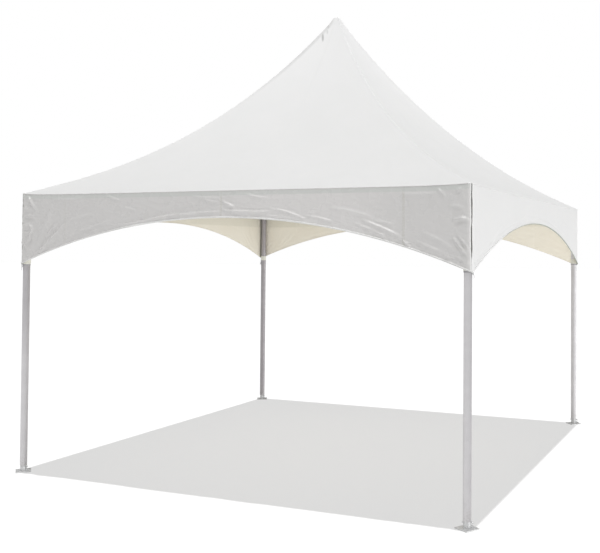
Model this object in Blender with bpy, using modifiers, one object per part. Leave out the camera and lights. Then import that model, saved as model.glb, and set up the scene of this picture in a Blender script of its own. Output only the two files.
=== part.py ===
"""A square high-peak marquee, open on all four sides.

Four tubular legs stand on flat base plates. Corner fittings join them to four eave
beams. Two crossed cables, made as four halves, carry a short mast in the middle, and
the mast lifts the peak of the roof. The canopy is four concave roof panels, sewn along
the hips and closed by a small cap at the peak, and four valances with an arched hem,
strapped to the legs at their tips.

Metres, +Z up. The origin is on the ground, in the middle between the legs.
The front side faces -Y. What is there four times is made once and turned about the Z
axis by quarter turns; only the feet are turned about their own legs, as they were left.
"""

import math

import bmesh
import bpy
from mathutils import Matrix, Vector

# Driving dimensions of the frame
SPAN = 4.0  # between leg axes, both ways
TUBE_R = 0.030  # legs and eave beams, outside
TUBE_BORE_R = 0.027
MAST_R = 0.025
MAST_BORE_R = 0.022
FIT = 0.0003  # between pieces that touch or slide over each other
CORNER_Z = 2.400  # top of the canopy at its four corners
HUB_R = 0.033  # corner fitting's body
HUB_BOTTOM_Z = 2.325
HUB_TOP_Z = 2.396
HUB_EDGE = 0.004  # width of the bevel on its edges
BEAM_Z = 2.361  # axis of the eave beams
LEG_SPIGOT = 0.120  # how far a spigot reaches into a leg
BEAM_SPIGOT = 0.100

# Driving dimensions of the canopy
ROOF_HALF = 2.040  # from the centre to a valance's outer face
PEAK_Z = 4.276  # where the four hips would meet in a point
PEAK_ROUNDING = 0.0167  # takes the point down to a soft tip at about 4.25
TOP_SLOPE = 1.655  # fall of a hip at the peak, per metre along X or Y
EAVE_SLOPE = 0.406  # and at the eave
HOLLOW = 0.030  # how far a panel dips between two hips
EAVE_DROP = 0.015  # the eave lies this much under its corners
ROOF_SKIN = 0.005  # upright thickness of the roof's solids
CAP_HALF = 0.060  # half the width of the peak cap
SEAM_GAP = 0.0003  # between a panel's edge and the hip plane
VALANCE_SKIN = 0.004
VALANCE_SHORT = 0.010  # a valance ends this far before the corner on its right
HEM_CROWN_Z = 2.180
HEM_RADIUS = 5.500

# Driving dimensions of the feet, the mast and the straps
PLATE_HALF = 0.062
PLATE_THICK = 0.008
PLATE_TURNS = (0.0, 14.0, 0.0, -15.0)  # degrees from +X to each foot's rib and pin
PLATE_SPIGOT_TOP = 0.178
STAKE_HOLE_R = 0.009
STAKE_HOLE_AT = 0.060  # from the leg's axis, towards a corner of the plate
PIN_Z = 0.048
PIN_R = 0.005
PIN_REACH = 0.044
PIN_HEAD_R = 0.008
PIN_HEAD = 0.008
RIB_HEIGHT = 0.030
RIB_END_HEIGHT = 0.003  # at its outer end
RIB_REACH = 0.070
RIB_THICK = 0.006
FOOT_Z = 2.250  # underside of the mast's foot
FOOT_R = 0.055
FOOT_THICK = 0.012
LUG_WIDTH = 0.010
LUG_HEIGHT = 0.020
FOOT_LUG_START = 0.033  # distance from the centre
FOOT_LUG_REACH = 0.100
FOOT_LUG_RISE = 0.001  # of its underside over the foot's
HUB_LUG_REACH = 0.080
HUB_LUG_Z = 2.336
CABLE_R = 0.004
FERRULE_R = 0.008
FERRULE = 0.040
FERRULE_TAPER = 0.010
CABLE_GAP = 0.0006
HEAD_R = 0.024  # mast head
HEAD_BOTTOM_Z = 4.190
HEAD_CLEARANCE = 0.0024  # from the head up to the cap's underside
STRAP_R = 0.036
STRAP_HEIGHT = 0.026
TAB_WIDTH = 0.034
TAB_OUT = 0.0385
TAB_IN = 0.032  # inner face of a tab and of the buckle, from the leg's axis
BUCKLE = (0.010, 0.032, 0.022)

ROUND = 32  # sides of the large tubes
SMALL_ROUND = 16  # sides of the thin rods, pins and holes
CAP_CELLS = 12  # of the peak cap, each way
DOME_STEPS = 4  # of the mast head's round top
OVERLAP = 0.010  # how far two solids reach into each other before they are joined
MERGE = 0.00005  # points of a turned solid that are closer than this become one
BEVEL_ANGLE = math.radians(40)
SHARP_ANGLE = math.radians(35)
LEG_AT = SPAN / 2
SPIGOT_R = TUBE_BORE_R - FIT
# Where the columns of a roof panel and of a valance stand, from the middle to a corner
COLUMNS = (0.0, 0.15, 0.3, 0.45, 0.6, 0.7, 0.8, 0.9, 0.95, 1.0)
# Where the rows of a roof panel lie, as distances from the centre
ROWS = (CAP_HALF, 0.11, 0.18, 0.28, 0.42, 0.60, 0.80, 1.05, 1.33, 1.65, 1.90, ROOF_HALF)

SIDES = ("front", "right", "back", "left")
CORNERS = ("front_left", "front_right", "back_right", "back_left")


def clear_scene():
    for obj in list(bpy.data.objects):
        bpy.data.objects.remove(obj, do_unlink=True)
    for name in ("marquee", "cutters"):
        bpy.context.scene.collection.children.link(bpy.data.collections.new(name))


def material(name, colour, roughness, metallic):
    made = bpy.data.materials.new(name)
    made.use_nodes = True
    shader = made.node_tree.nodes["Principled BSDF"]
    shader.inputs["Base Color"].default_value = (*colour, 1.0)
    shader.inputs["Roughness"].default_value = roughness
    shader.inputs["Metallic"].default_value = metallic
    made.diffuse_color = (*colour, 1.0)
    return made


def add(name, mesh, finish=None, collection="marquee"):
    obj = bpy.data.objects.new(name, mesh)
    bpy.data.collections[collection].objects.link(obj)
    if finish:
        mesh.materials.clear()
        mesh.materials.append(finish)
    if collection == "cutters":
        obj.hide_render = True
        obj.display_type = "WIRE"
    return obj


def mesh_from(bm, name):
    bmesh.ops.recalc_face_normals(bm, faces=bm.faces)
    mesh = bpy.data.meshes.new(name)
    bm.to_mesh(mesh)
    bm.free()
    return mesh


def box(name, low, high):
    """A box from its lowest to its highest corner."""
    bm = bmesh.new()
    bmesh.ops.create_cube(bm, size=1.0)
    low, high = Vector(low), Vector(high)
    for v in bm.verts:
        v.co = [low[k] + (v.co[k] + 0.5) * (high[k] - low[k]) for k in range(3)]
    return add(name, mesh_from(bm, name), collection="cutters")


def rod(name, radius, start, end, sides):
    """A solid round bar between two points."""
    start, end = Vector(start), Vector(end)
    bm = bmesh.new()
    bmesh.ops.create_cone(bm, cap_ends=True, segments=sides, radius1=radius,
                          radius2=radius, depth=(end - start).length)
    turn = (end - start).to_track_quat("Z", "Y").to_matrix().to_4x4()
    bmesh.ops.transform(bm, verts=bm.verts, matrix=Matrix.Translation((start + end) / 2) @ turn)
    return add(name, mesh_from(bm, name), collection="cutters")


def turned(name, profile, sides, closed=False):
    """A profile of (radius, height), outer side top to bottom, turned about Z."""
    mesh = bpy.data.meshes.new(name)
    last = len(profile) - 1
    edges = [(i, i + 1) for i in range(last)] + ([(last, 0)] if closed else [])
    mesh.from_pydata([(r, 0.0, z) for r, z in profile], edges, [])
    obj = add(name, mesh, collection="cutters")
    screw = obj.modifiers.new("turn", "SCREW")
    screw.angle = 2 * math.pi
    screw.steps = screw.render_steps = sides
    screw.use_merge_vertices = True
    screw.merge_threshold = MERGE
    return obj


def tube_profile(outer, bore, bottom, top):
    return [(outer, top), (outer, bottom), (bore, bottom), (bore, top)]


def combine(obj, other, operation):
    change = obj.modifiers.new(other.name, "BOOLEAN")
    change.operation = operation
    change.solver = "EXACT"
    change.object = other


def soften(obj, width):
    bevel = obj.modifiers.new("soft edges", "BEVEL")
    bevel.width = width
    bevel.segments = 1
    bevel.limit_method = "ANGLE"
    bevel.angle_limit = BEVEL_ANGLE


def finished_mesh(obj, name):
    """The mesh of a piece after its modifiers, with the loose helpers taken away."""
    used = [m.object for m in obj.modifiers if m.type == "BOOLEAN"]
    bpy.context.view_layer.update()
    mesh = bpy.data.meshes.new_from_object(
        obj.evaluated_get(bpy.context.evaluated_depsgraph_get()))
    mesh.name = name
    mesh.shade_smooth()
    mesh.set_sharp_from_angle(angle=SHARP_ANGLE)
    for helper in used + [obj]:
        bpy.data.objects.remove(helper, do_unlink=True)
    return mesh


def four_round(base, names, mesh, finish):
    """Four pieces that share a mesh, each a quarter turn further about the centre."""
    for quarter, name in enumerate(names):
        obj = add(f"{base}_{name}", mesh, finish)
        obj.rotation_euler = (0.0, 0.0, quarter * math.pi / 2)


def corner_place(quarter):
    """The leg axis of a corner, counted from the front left."""
    return Matrix.Rotation(quarter * math.pi / 2, 3, "Z") @ Vector((-LEG_AT, -LEG_AT, 0.0))


def hip_height(distance):
    """Height of a hip over a distance from the centre along X or Y: a parabola arc."""
    reach = math.hypot(distance, PEAK_ROUNDING)
    bend = (PEAK_Z - CORNER_Z - EAVE_SLOPE * ROOF_HALF) / (TOP_SLOPE - EAVE_SLOPE)
    bend_z = PEAK_Z - TOP_SLOPE * bend
    rest = ROOF_HALF - 2 * bend
    t = (math.sqrt(bend * bend + rest * reach) - bend) / rest
    return (1 - t) ** 2 * PEAK_Z + 2 * t * (1 - t) * bend_z + t * t * CORNER_Z


def roof_height(distance, across):
    """Height of a panel's outer face; across is -1 on its left hip and 1 on its right."""
    out = distance / ROOF_HALF
    dip = HOLLOW * 4 * out * (1 - out) * (1 - across ** 2)
    drop = EAVE_DROP * out ** 10 * (1 - across ** 12)
    return hip_height(distance) - dip - drop


def hem_height(x):
    return HEM_CROWN_Z - HEM_RADIUS + math.sqrt(HEM_RADIUS ** 2 - x ** 2)


def skin(name, columns, rows, place, push):
    """A thin solid: a grid of columns and rows that place() bends, pushed to a thickness."""
    bm = bmesh.new()
    bmesh.ops.create_grid(bm, x_segments=columns, y_segments=rows, size=1.0)
    for v in bm.verts:
        v.co = place(round((v.co.x + 1) / 2 * columns), round((v.co.y + 1) / 2 * rows))
    pushed = bmesh.ops.extrude_face_region(bm, geom=bm.faces[:])["geom"]
    moved = [v for v in pushed if isinstance(v, bmesh.types.BMVert)]
    bmesh.ops.translate(bm, verts=moved, vec=push)
    return mesh_from(bm, name)


def both_ways(values):
    return [-v for v in reversed(values[1:])] + list(values)


def make_legs(finish):
    profile = tube_profile(TUBE_R, TUBE_BORE_R, PIN_Z + PIN_R + FIT, HUB_BOTTOM_Z - FIT)
    mesh = finished_mesh(turned("leg", profile, ROUND, closed=True), "leg")
    for quarter, name in enumerate(CORNERS):
        add(f"leg_{name}", mesh, finish).location = corner_place(quarter)


def make_base_plates(finish):
    """A plate with a spigot for the leg, a rib, two stake holes and the leg's stop pin."""
    plate = box("plate", (-PLATE_HALF, -PLATE_HALF, 0), (PLATE_HALF, PLATE_HALF, PLATE_THICK))
    plate.data.transform(Matrix.Rotation(math.pi / 4, 4, "Z"))
    spigot = rod("spigot", SPIGOT_R, (0, 0, PLATE_THICK / 2), (0, 0, PLATE_SPIGOT_TOP), ROUND)
    pin = rod("pin", PIN_R, (-PIN_REACH + PIN_HEAD, 0, PIN_Z), (PIN_REACH, 0, PIN_Z), SMALL_ROUND)
    head = rod("head", PIN_HEAD_R, (PIN_REACH - PIN_HEAD, 0, PIN_Z - PIN_HEAD_R + PIN_R),
               (PIN_REACH, 0, PIN_Z - PIN_HEAD_R + PIN_R), SMALL_ROUND)
    rib = box("rib", (SPIGOT_R / 2, -RIB_THICK / 2, PLATE_THICK / 2),
              (RIB_REACH, RIB_THICK / 2, PLATE_THICK + RIB_HEIGHT))
    for v in rib.data.vertices:
        if v.co.x > SPIGOT_R and v.co.z > PLATE_THICK:
            v.co.z = PLATE_THICK + RIB_END_HEIGHT
    for piece in (spigot, pin, head, rib):
        combine(plate, piece, "UNION")
    for at in (-STAKE_HOLE_AT, STAKE_HOLE_AT):
        combine(plate, rod(f"hole {at}", STAKE_HOLE_R, (0, at, -PLATE_THICK),
                           (0, at, 2 * PLATE_THICK), SMALL_ROUND), "DIFFERENCE")
    mesh = finished_mesh(plate, "base plate")
    for quarter, name in enumerate(CORNERS):
        foot = add(f"base_plate_{name}", mesh, finish)
        foot.location = corner_place(quarter)
        foot.rotation_euler = (0.0, 0.0, math.radians(PLATE_TURNS[quarter]))


def make_corner_fittings(finish):
    """A hub with spigots down into the leg and into two beams, and a lug for a cable."""
    at = corner_place(0)
    hub = rod("hub", HUB_R, at + Vector((0, 0, HUB_BOTTOM_Z)), at + Vector((0, 0, HUB_TOP_Z)),
              ROUND)
    soften(hub, HUB_EDGE)
    down = rod("down", SPIGOT_R, at + Vector((0, 0, HUB_BOTTOM_Z - LEG_SPIGOT)),
               at + Vector((0, 0, HUB_BOTTOM_Z + OVERLAP)), ROUND)
    centre = at + Vector((0, 0, BEAM_Z))
    arms = [rod(f"arm {way}", SPIGOT_R, centre, centre + Vector(way) * (HUB_R + BEAM_SPIGOT),
                ROUND) for way in ((1, 0, 0), (0, 1, 0))]
    lug = box("lug", (HUB_R / 2, -LUG_WIDTH / 2, -LUG_HEIGHT / 2),
              (HUB_LUG_REACH, LUG_WIDTH / 2, LUG_HEIGHT / 2))
    lug.data.transform(Matrix.Translation(at + Vector((0, 0, HUB_LUG_Z)))
                       @ Matrix.Rotation(math.pi / 4, 4, "Z"))
    for piece in (down, *arms, lug):
        combine(hub, piece, "UNION")
    four_round("corner_fitting", CORNERS, finished_mesh(hub, "corner fitting"), finish)


def make_eave_beams(finish):
    half = LEG_AT - HUB_R - FIT
    beam = turned("beam", tube_profile(TUBE_R, TUBE_BORE_R, -half, half), ROUND, closed=True)
    mesh = finished_mesh(beam, "eave beam")
    mesh.transform(Matrix.Translation((0, -LEG_AT, BEAM_Z)) @ Matrix.Rotation(math.pi / 2, 4, "Y"))
    four_round("eave_beam", SIDES, mesh, finish)


def make_mast(steel, tube):
    mast = turned("mast", tube_profile(MAST_R, MAST_BORE_R, FOOT_Z + FOOT_THICK + FIT,
                                       HEAD_BOTTOM_Z - FIT), ROUND, closed=True)
    add("mast_tube", finished_mesh(mast, "mast tube"), tube)

    spigot = MAST_BORE_R - FIT
    foot = turned("foot", [(0, FOOT_Z + LEG_SPIGOT), (spigot, FOOT_Z + LEG_SPIGOT),
                           (spigot, FOOT_Z + FOOT_THICK), (FOOT_R, FOOT_Z + FOOT_THICK),
                           (FOOT_R, FOOT_Z), (0, FOOT_Z)], ROUND)
    for quarter in range(4):
        lug = box(f"lug {quarter}", (FOOT_LUG_START, -LUG_WIDTH / 2, FOOT_Z + FOOT_LUG_RISE),
                  (FOOT_LUG_REACH, LUG_WIDTH / 2, FOOT_Z + FOOT_LUG_RISE + LUG_HEIGHT))
        lug.data.transform(Matrix.Rotation((quarter + 0.5) * math.pi / 2, 4, "Z"))
        combine(foot, lug, "UNION")
    add("mast_foot", finished_mesh(foot, "mast foot"), steel)

    under_cap = ROOF_SKIN + HEAD_CLEARANCE
    steps = [HEAD_R * k / DOME_STEPS for k in range(DOME_STEPS + 1)]
    dome = [(out, hip_height(out) - under_cap) for out in steps]
    head = turned("head", dome + [(HEAD_R, HEAD_BOTTOM_Z), (spigot, HEAD_BOTTOM_Z),
                                  (spigot, HEAD_BOTTOM_Z - LEG_SPIGOT),
                                  (0, HEAD_BOTTOM_Z - LEG_SPIGOT)], ROUND)
    add("mast_head", finished_mesh(head, "mast head"), steel)


def make_cross_cables(finish):
    """Four half cables, from the lugs of the mast's foot up to the corner fittings."""
    diagonal = Vector((-1, -1, 0)).normalized()
    start = diagonal * (FOOT_LUG_REACH + CABLE_GAP) + Vector((0, 0, FOOT_Z + LUG_HEIGHT / 2))
    end = diagonal * (corner_place(0).length - HUB_LUG_REACH - CABLE_GAP)
    end = end + Vector((0, 0, HUB_LUG_Z))
    length = (end - start).length
    thin = FERRULE + FERRULE_TAPER
    half = turned("cable", [(0, length), (FERRULE_R, length), (FERRULE_R, length - FERRULE),
                            (CABLE_R, length - thin), (CABLE_R, thin), (FERRULE_R, FERRULE),
                            (FERRULE_R, 0), (0, 0)], SMALL_ROUND)
    mesh = finished_mesh(half, "cross cable")
    turn = (end - start).to_track_quat("Z", "Y").to_matrix().to_4x4()
    mesh.transform(Matrix.Translation(start) @ turn)
    four_round("cross_cable", CORNERS, mesh, finish)


def make_roof(finish):
    columns = both_ways(COLUMNS)

    def place(column, row):
        distance, across = ROWS[row], columns[column]
        return (across * (distance - SEAM_GAP), -distance, roof_height(distance, across))

    mesh = skin("roof panel", len(columns) - 1, len(ROWS) - 1, place, (0, 0, -ROOF_SKIN))
    four_round("roof_panel", SIDES, mesh, finish)

    half = CAP_HALF - SEAM_GAP

    def cap_place(column, row):
        """Round at the tip, square at the rim."""
        x, y = [(2 * k / CAP_CELLS - 1) * half for k in (column, row)]
        square = max(abs(x), abs(y))
        share = (square / half) ** 2
        return (x, y, hip_height((1 - share) * math.hypot(x, y) + share * square))

    cap = skin("peak cap", CAP_CELLS, CAP_CELLS, cap_place, (0, 0, -ROOF_SKIN))
    add("peak_cap", cap, finish)


def make_valances(finish):
    columns = both_ways(COLUMNS)

    def place(column, row):
        x = min(columns[column] * ROOF_HALF, ROOF_HALF - VALANCE_SHORT)
        top = roof_height(ROOF_HALF, x / ROOF_HALF) - ROOF_SKIN - FIT
        return (x, -ROOF_HALF, top if row else hem_height(x))

    mesh = skin("valance", len(columns) - 1, 1, place, (0, VALANCE_SKIN, 0))
    four_round("valance", SIDES, mesh, finish)


def make_corner_straps(finish):
    """A strap round each leg that holds the tips of two valances, with its buckle."""
    top = hem_height(ROOF_HALF) - FIT
    bottom = top - STRAP_HEIGHT
    ring = turned("ring", tube_profile(STRAP_R, TUBE_R + FIT, bottom, top), ROUND, closed=True)
    tabs = [box("front tab", (-TAB_OUT, -TAB_OUT, bottom), (TAB_WIDTH - TAB_OUT, -TAB_IN, top)),
            box("side tab", (-TAB_OUT, -TAB_OUT, bottom), (-TAB_IN, TAB_WIDTH - TAB_OUT, top))]
    middle = (top + bottom) / 2
    depth, width, height = BUCKLE
    buckle = box("buckle", (-TAB_IN - depth, -width / 2, middle - height / 2),
                 (-TAB_IN, width / 2, middle + height / 2))
    for piece in (*tabs, buckle):
        combine(ring, piece, "UNION")
    mesh = finished_mesh(ring, "corner strap")
    mesh.transform(Matrix.Translation(corner_place(0)))
    four_round("corner_strap", CORNERS, mesh, finish)


def main():
    clear_scene()
    vinyl = material("white vinyl", (0.79, 0.79, 0.78), 0.45, 0.0)
    aluminium = material("mill aluminium", (0.52, 0.51, 0.52), 0.38, 1.0)
    steel = material("galvanised steel", (0.45, 0.46, 0.46), 0.45, 1.0)
    wire = material("steel wire rope", (0.40, 0.40, 0.41), 0.35, 1.0)
    webbing = material("grey webbing", (0.22, 0.22, 0.21), 0.80, 0.0)
    make_legs(aluminium)
    make_base_plates(steel)
    make_corner_fittings(steel)
    make_eave_beams(aluminium)
    make_mast(steel, aluminium)
    make_cross_cables(wire)
    make_roof(vinyl)
    make_valances(vinyl)
    make_corner_straps(webbing)


main()
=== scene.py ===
# %% [markdown]
# # A white marquee tent, dressed on its frame
# The tent is a square high-peak marquee: white vinyl, drawn tight over an aluminium
# frame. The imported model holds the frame, and this lesson gives it its looks. The legs,
# beams, plates and fittings keep their shape and get a finish. The canopy, its four
# valances, the straps and the wire ropes are modelled here and stand in for plain solids.

# %% Load the frame
import math

import bpy
import numpy as np
from mathutils import Matrix, Vector, noise


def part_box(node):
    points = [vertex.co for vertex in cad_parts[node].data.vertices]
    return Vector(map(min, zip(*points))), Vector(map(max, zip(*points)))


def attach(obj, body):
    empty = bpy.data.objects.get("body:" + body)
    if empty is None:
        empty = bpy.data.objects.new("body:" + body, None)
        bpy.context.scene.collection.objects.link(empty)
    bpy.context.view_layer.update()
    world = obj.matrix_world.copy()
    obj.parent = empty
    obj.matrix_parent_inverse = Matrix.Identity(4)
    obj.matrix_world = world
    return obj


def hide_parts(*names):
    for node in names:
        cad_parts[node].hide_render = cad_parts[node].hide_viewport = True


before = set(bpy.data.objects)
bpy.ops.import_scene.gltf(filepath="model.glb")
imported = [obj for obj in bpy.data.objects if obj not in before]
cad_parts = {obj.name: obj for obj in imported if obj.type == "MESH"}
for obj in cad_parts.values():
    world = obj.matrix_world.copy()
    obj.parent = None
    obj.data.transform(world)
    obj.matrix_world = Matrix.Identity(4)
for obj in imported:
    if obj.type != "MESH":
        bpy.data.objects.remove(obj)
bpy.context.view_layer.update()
SIDES = ("front", "right", "back", "left")
CORNERS = ("front_left", "front_right", "back_right", "back_left")

# %% [markdown]
# ## Sizes
# Metres, +Z up, the origin on the ground in the middle. Sizes that the frame holds are
# read from its nodes, so the cloth always fits the metal. The roof's own curve is a
# formula: the same parabola for all four hips, with a slight hollow between them.

# %% Sizes read from the frame
leg_low, leg_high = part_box("leg_front_right")
LEG_AT = (leg_low.x + leg_high.x) / 2
TUBE_R = (leg_high.x - leg_low.x) / 2
ROOF_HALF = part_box("valance_right")[1].x  # from the centre to a valance's outer face
print(f"legs at {LEG_AT:.3f}, tube radius {TUBE_R:.4f}, roof half {ROOF_HALF:.3f}")

# %% The curve of the roof and of the hems
CORNER_Z = 2.400  # top of the canopy at its corners
PEAK_Z = 4.276  # where the hips would meet in a point
PEAK_ROUNDING = 0.025  # takes the point down to a blunt tip
PEAK_LIFT, LIFT_REACH = 0.018, 0.042  # the mast's head pushes the cap up by this much
TOP_SLOPE = 1.655  # fall of a hip at the peak, per metre along X or Y
EAVE_SLOPE = 0.406
HOLLOW = 0.030  # how far a gore dips between two hips
EAVE_DROP = 0.015  # the eave hangs this much under its corners
DROP_NEAR_EAVE, DROP_TO_CORNER = 10, 12  # powers that keep the drop to the eave
NO_ZERO = 1e-9  # keeps a division from failing at the tip
CAP_HALF = 0.010  # inside this distance the square roof blends to a round tip
LEAN_FRONT, LEAN_BACK = 0.034, 0.018  # the roof is pulled towards its back right corner
CORNER_ROUND = ROOF_HALF - LEG_AT  # the canopy's corners bend round the legs
HEM_CROWN_Z = 2.180
HEM_RADIUS = 5.500
HEM_LIFTS = ((-0.008, -0.010, -0.016), (-0.027, -0.013, -0.020),  # front, right
             (-0.030, 0.030, 0.030), (0.012, 0.030, -0.005))  # back, left: start, middle, end
PUCKER_AT = (-0.155, -0.075)  # a gather beside the front left hip, close to the peak
PUCKER_LONG, PUCKER_WIDE, PUCKER_DEEP = 0.050, 0.012, 0.020


def hip_height(distance):
    """Height of a hip over a distance from the centre along X or Y."""
    reach = (distance ** 4 + PEAK_ROUNDING ** 4) ** 0.25
    bend = (PEAK_Z - CORNER_Z - EAVE_SLOPE * ROOF_HALF) / (TOP_SLOPE - EAVE_SLOPE)
    bend_z = PEAK_Z - TOP_SLOPE * bend
    rest = ROOF_HALF - 2 * bend
    t = (np.sqrt(bend * bend + rest * reach) - bend) / rest
    lift = PEAK_LIFT * np.exp(-(distance / LIFT_REACH) ** 4)
    return (1 - t) ** 2 * PEAK_Z + 2 * t * (1 - t) * bend_z + t * t * CORNER_Z + lift


def roof_height(x, y):
    """Height of the canopy's outer face over any point."""
    square = np.maximum(np.abs(x), np.abs(y))
    across = np.minimum(np.abs(x), np.abs(y)) / np.maximum(square, NO_ZERO)
    out = square / ROOF_HALF
    dip = HOLLOW * 4 * out * (1 - out) * (1 - across ** 2)
    drop = EAVE_DROP * out ** DROP_NEAR_EAVE * (1 - across ** DROP_TO_CORNER)
    squareness = np.minimum(1.0, square / CAP_HALF) ** 2
    reach = (1 - squareness) * np.hypot(x, y) + squareness * square
    lean = np.where(x + y < 0, LEAN_FRONT, LEAN_BACK)
    lean = lean * np.sin(math.pi * out) * (x + y) / (2 * np.maximum(square, NO_ZERO))
    downhill = Vector(PUCKER_AT).normalized()
    along = (x * downhill.x + y * downhill.y - Vector(PUCKER_AT).length) / PUCKER_LONG
    beside = (y * downhill.x - x * downhill.y) / PUCKER_WIDE
    pucker = PUCKER_DEEP * np.exp(-along ** 2 - beside ** 2)
    return hip_height(reach) - squareness * dip - drop + lean - pucker


def hem_height(x, quarter):
    """Lower edge of a valance: one shallow arc, lifted or drawn down a little along its way."""
    start, middle, end = HEM_LIFTS[quarter]
    s = x / ROOF_HALF
    lift = start * (s * s - s) / 2 + middle * (1 - s * s) + end * (s * s + s) / 2
    return HEM_CROWN_Z - HEM_RADIUS + np.sqrt(HEM_RADIUS ** 2 - x ** 2) + lift


print(f"tip {roof_height(0.0, 0.0):.4f}, eave middle {roof_height(0.0, ROOF_HALF):.4f}")

# %% [markdown]
# ## The camera
# The picture was taken from just under eye level, in front and to the right, with a
# normal lens, and was cropped off centre. So the camera looks a little to the left of
# the tent and its lens is shifted. The place was worked out from the four feet, the
# four eave corners and the peak. The shift is what frames the picture.

# %% Place the camera
CAMERA_AT = (3.8052, -7.8351, 1.9287)
CAMERA_YAW, CAMERA_PITCH, CAMERA_ROLL = (math.radians(a) for a in (-21.9274, 1.3665, 0.3463))
PICTURE = (600, 553)  # pixels
FOCAL_PIXELS = 871.94
CENTRE_SHIFT = (95.967, 47.329)  # pixels from the picture's middle to the lens axis, right and up
SENSOR = 36.0  # millimetres
FARTHEST = 400.0  # metres, so that the floor's far edge is in the picture


def make_camera():
    ahead = Vector((math.sin(CAMERA_YAW) * math.cos(CAMERA_PITCH),
                    math.cos(CAMERA_YAW) * math.cos(CAMERA_PITCH), math.sin(CAMERA_PITCH)))
    level = Vector((math.cos(CAMERA_YAW), -math.sin(CAMERA_YAW), 0.0))
    above = level.cross(ahead)
    right = level * math.cos(CAMERA_ROLL) + above * math.sin(CAMERA_ROLL)
    up = above * math.cos(CAMERA_ROLL) - level * math.sin(CAMERA_ROLL)
    turn = Matrix((right, up, -ahead)).transposed()
    bpy.ops.object.camera_add(location=CAMERA_AT, rotation=turn.to_euler())
    camera = bpy.context.object
    camera.name = "camera"
    camera.data.sensor_width = SENSOR
    camera.data.lens = FOCAL_PIXELS / PICTURE[0] * SENSOR
    camera.data.shift_x = -CENTRE_SHIFT[0] / PICTURE[0]
    camera.data.shift_y = -CENTRE_SHIFT[1] / PICTURE[0]
    camera.data.clip_end = FARTHEST
    bpy.context.scene.camera = camera
    print(f"camera: lens {camera.data.lens:.1f} mm, shift {camera.data.shift_x:.3f}, "
          f"{camera.data.shift_y:.3f}")


make_camera()

# %% [markdown]
# ## Small tools for materials
# Every finish is a node tree, so a few helpers keep the code short: one places a node
# and sets or links its inputs by name, some do sums, and some mix colours. Object
# coordinates are metres here, because every piece sits at the origin.

# %% Helpers that place nodes
def connect(tree, socket, value):
    """Gives an input its value: another node's output, a number, a vector or a colour."""
    if isinstance(value, bpy.types.NodeSocket):
        tree.links.new(value, socket)
    else:
        socket.default_value = (*value, 1.0) if socket.type == "RGBA" else value


def feed(tree, node, **inputs):
    """Gives several inputs of a node their values, by name."""
    for name, value in inputs.items():
        connect(tree, node.inputs[name.replace("_", " ")], value)


def put(tree, kind, settings=None, **inputs):
    """A new node with its settings and inputs."""
    made = tree.nodes.new("ShaderNode" + kind)
    for name, value in (settings or {}).items():
        setattr(made, name, value)
    feed(tree, made, **inputs)
    return made


def maths(tree, operation, *values):
    made = put(tree, "Math", {"operation": operation})
    for socket, value in zip(made.inputs, values):
        connect(tree, socket, value)
    return made.outputs[0]


def times(tree, first, second):
    return maths(tree, "MULTIPLY", first, second)


print("nodes can be placed and summed")

# %% Helpers for colours, masks and noise
def mix_colours(tree, share, first, second):
    made = put(tree, "Mix", {"data_type": "RGBA"})
    for socket, value in ((0, share), (6, first), (7, second)):
        connect(tree, made.inputs[socket], value)
    return made.outputs[2]


def overlay(tree, colour, *layers):
    """Tints laid over a colour one after the other, each through its mask."""
    for share, tint in layers:
        colour = mix_colours(tree, share, colour, tint)
    return colour


def ramp(tree, value, low, high, to_low=0.0, to_high=1.0):
    """The value, taken from low..high to to_low..to_high and held there, softly."""
    return put(tree, "MapRange", {"interpolation_type": "SMOOTHSTEP"}, Value=value, From_Min=low,
               From_Max=high, To_Min=to_low, To_Max=to_high).outputs["Result"]


def place_of(tree, source="Object"):
    return put(tree, "TexCoord").outputs[source]


def axes(tree, source="Object"):
    """The X, Y and Z of a place on a piece, or of its place on the flat cloth."""
    return put(tree, "SeparateXYZ", Vector=place_of(tree, source)).outputs


def noise_over(tree, scale, detail, **others):
    return put(tree, "TexNoise", Vector=place_of(tree), Scale=scale, Detail=detail,
               **others).outputs["Fac"]


print("colours, masks and noise ready")

# %% Helpers for materials and groups
def start_material(name, roughness, metallic=0.0):
    made = bpy.data.materials.new(name)
    made.use_nodes = True
    shader = made.node_tree.nodes["Principled BSDF"]
    feed(made.node_tree, shader, Roughness=roughness, Metallic=metallic)
    return made, made.node_tree, shader


def bump(tree, shader, height, strength, distance, before=None):
    """Feeds a height to the shader's normal, over an earlier bump if there is one."""
    made = put(tree, "Bump", Height=height, Strength=strength, Distance=distance)
    if before is not None:
        feed(tree, made, Normal=before)
    feed(tree, shader, Normal=made.outputs["Normal"])
    return made.outputs["Normal"]


def start_group(name, inputs, output):
    """A shader node group: numbers go in by name, and one number comes out."""
    tree = bpy.data.node_groups.new(name, "ShaderNodeTree")
    for label, value in inputs.items():
        socket = tree.interface.new_socket(label, in_out="INPUT", socket_type="NodeSocketFloat")
        socket.default_value = value
    tree.interface.new_socket(output, in_out="OUTPUT", socket_type="NodeSocketFloat")
    return tree, tree.nodes.new("NodeGroupInput").outputs, tree.nodes.new("NodeGroupOutput")


def use_group(tree, group, **inputs):
    return put(tree, "Group", {"node_tree": group}, **inputs).outputs[0]


print("materials and groups can be started")

# %% [markdown]
# ## Floor and light
# A studio shot on a white floor that runs out to a white ground. A broad light from above
# the camera skims the front valance, so every fold there shows as a bright line with a
# soft shade under it. A low one from the right evens out the roof, and misses the two
# front legs. A light straight down serves the floor alone: it draws the tent's footprint
# as one flat pale shadow. The floor itself glows a little and lights the tent from below,
# as a white studio floor does. Light linking tells each light what it serves.

# %% Lights that serve some pieces alone
SUN_AT = (0, 0, 8)  # a sun shines from everywhere, so this only keeps it out of the way


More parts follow.
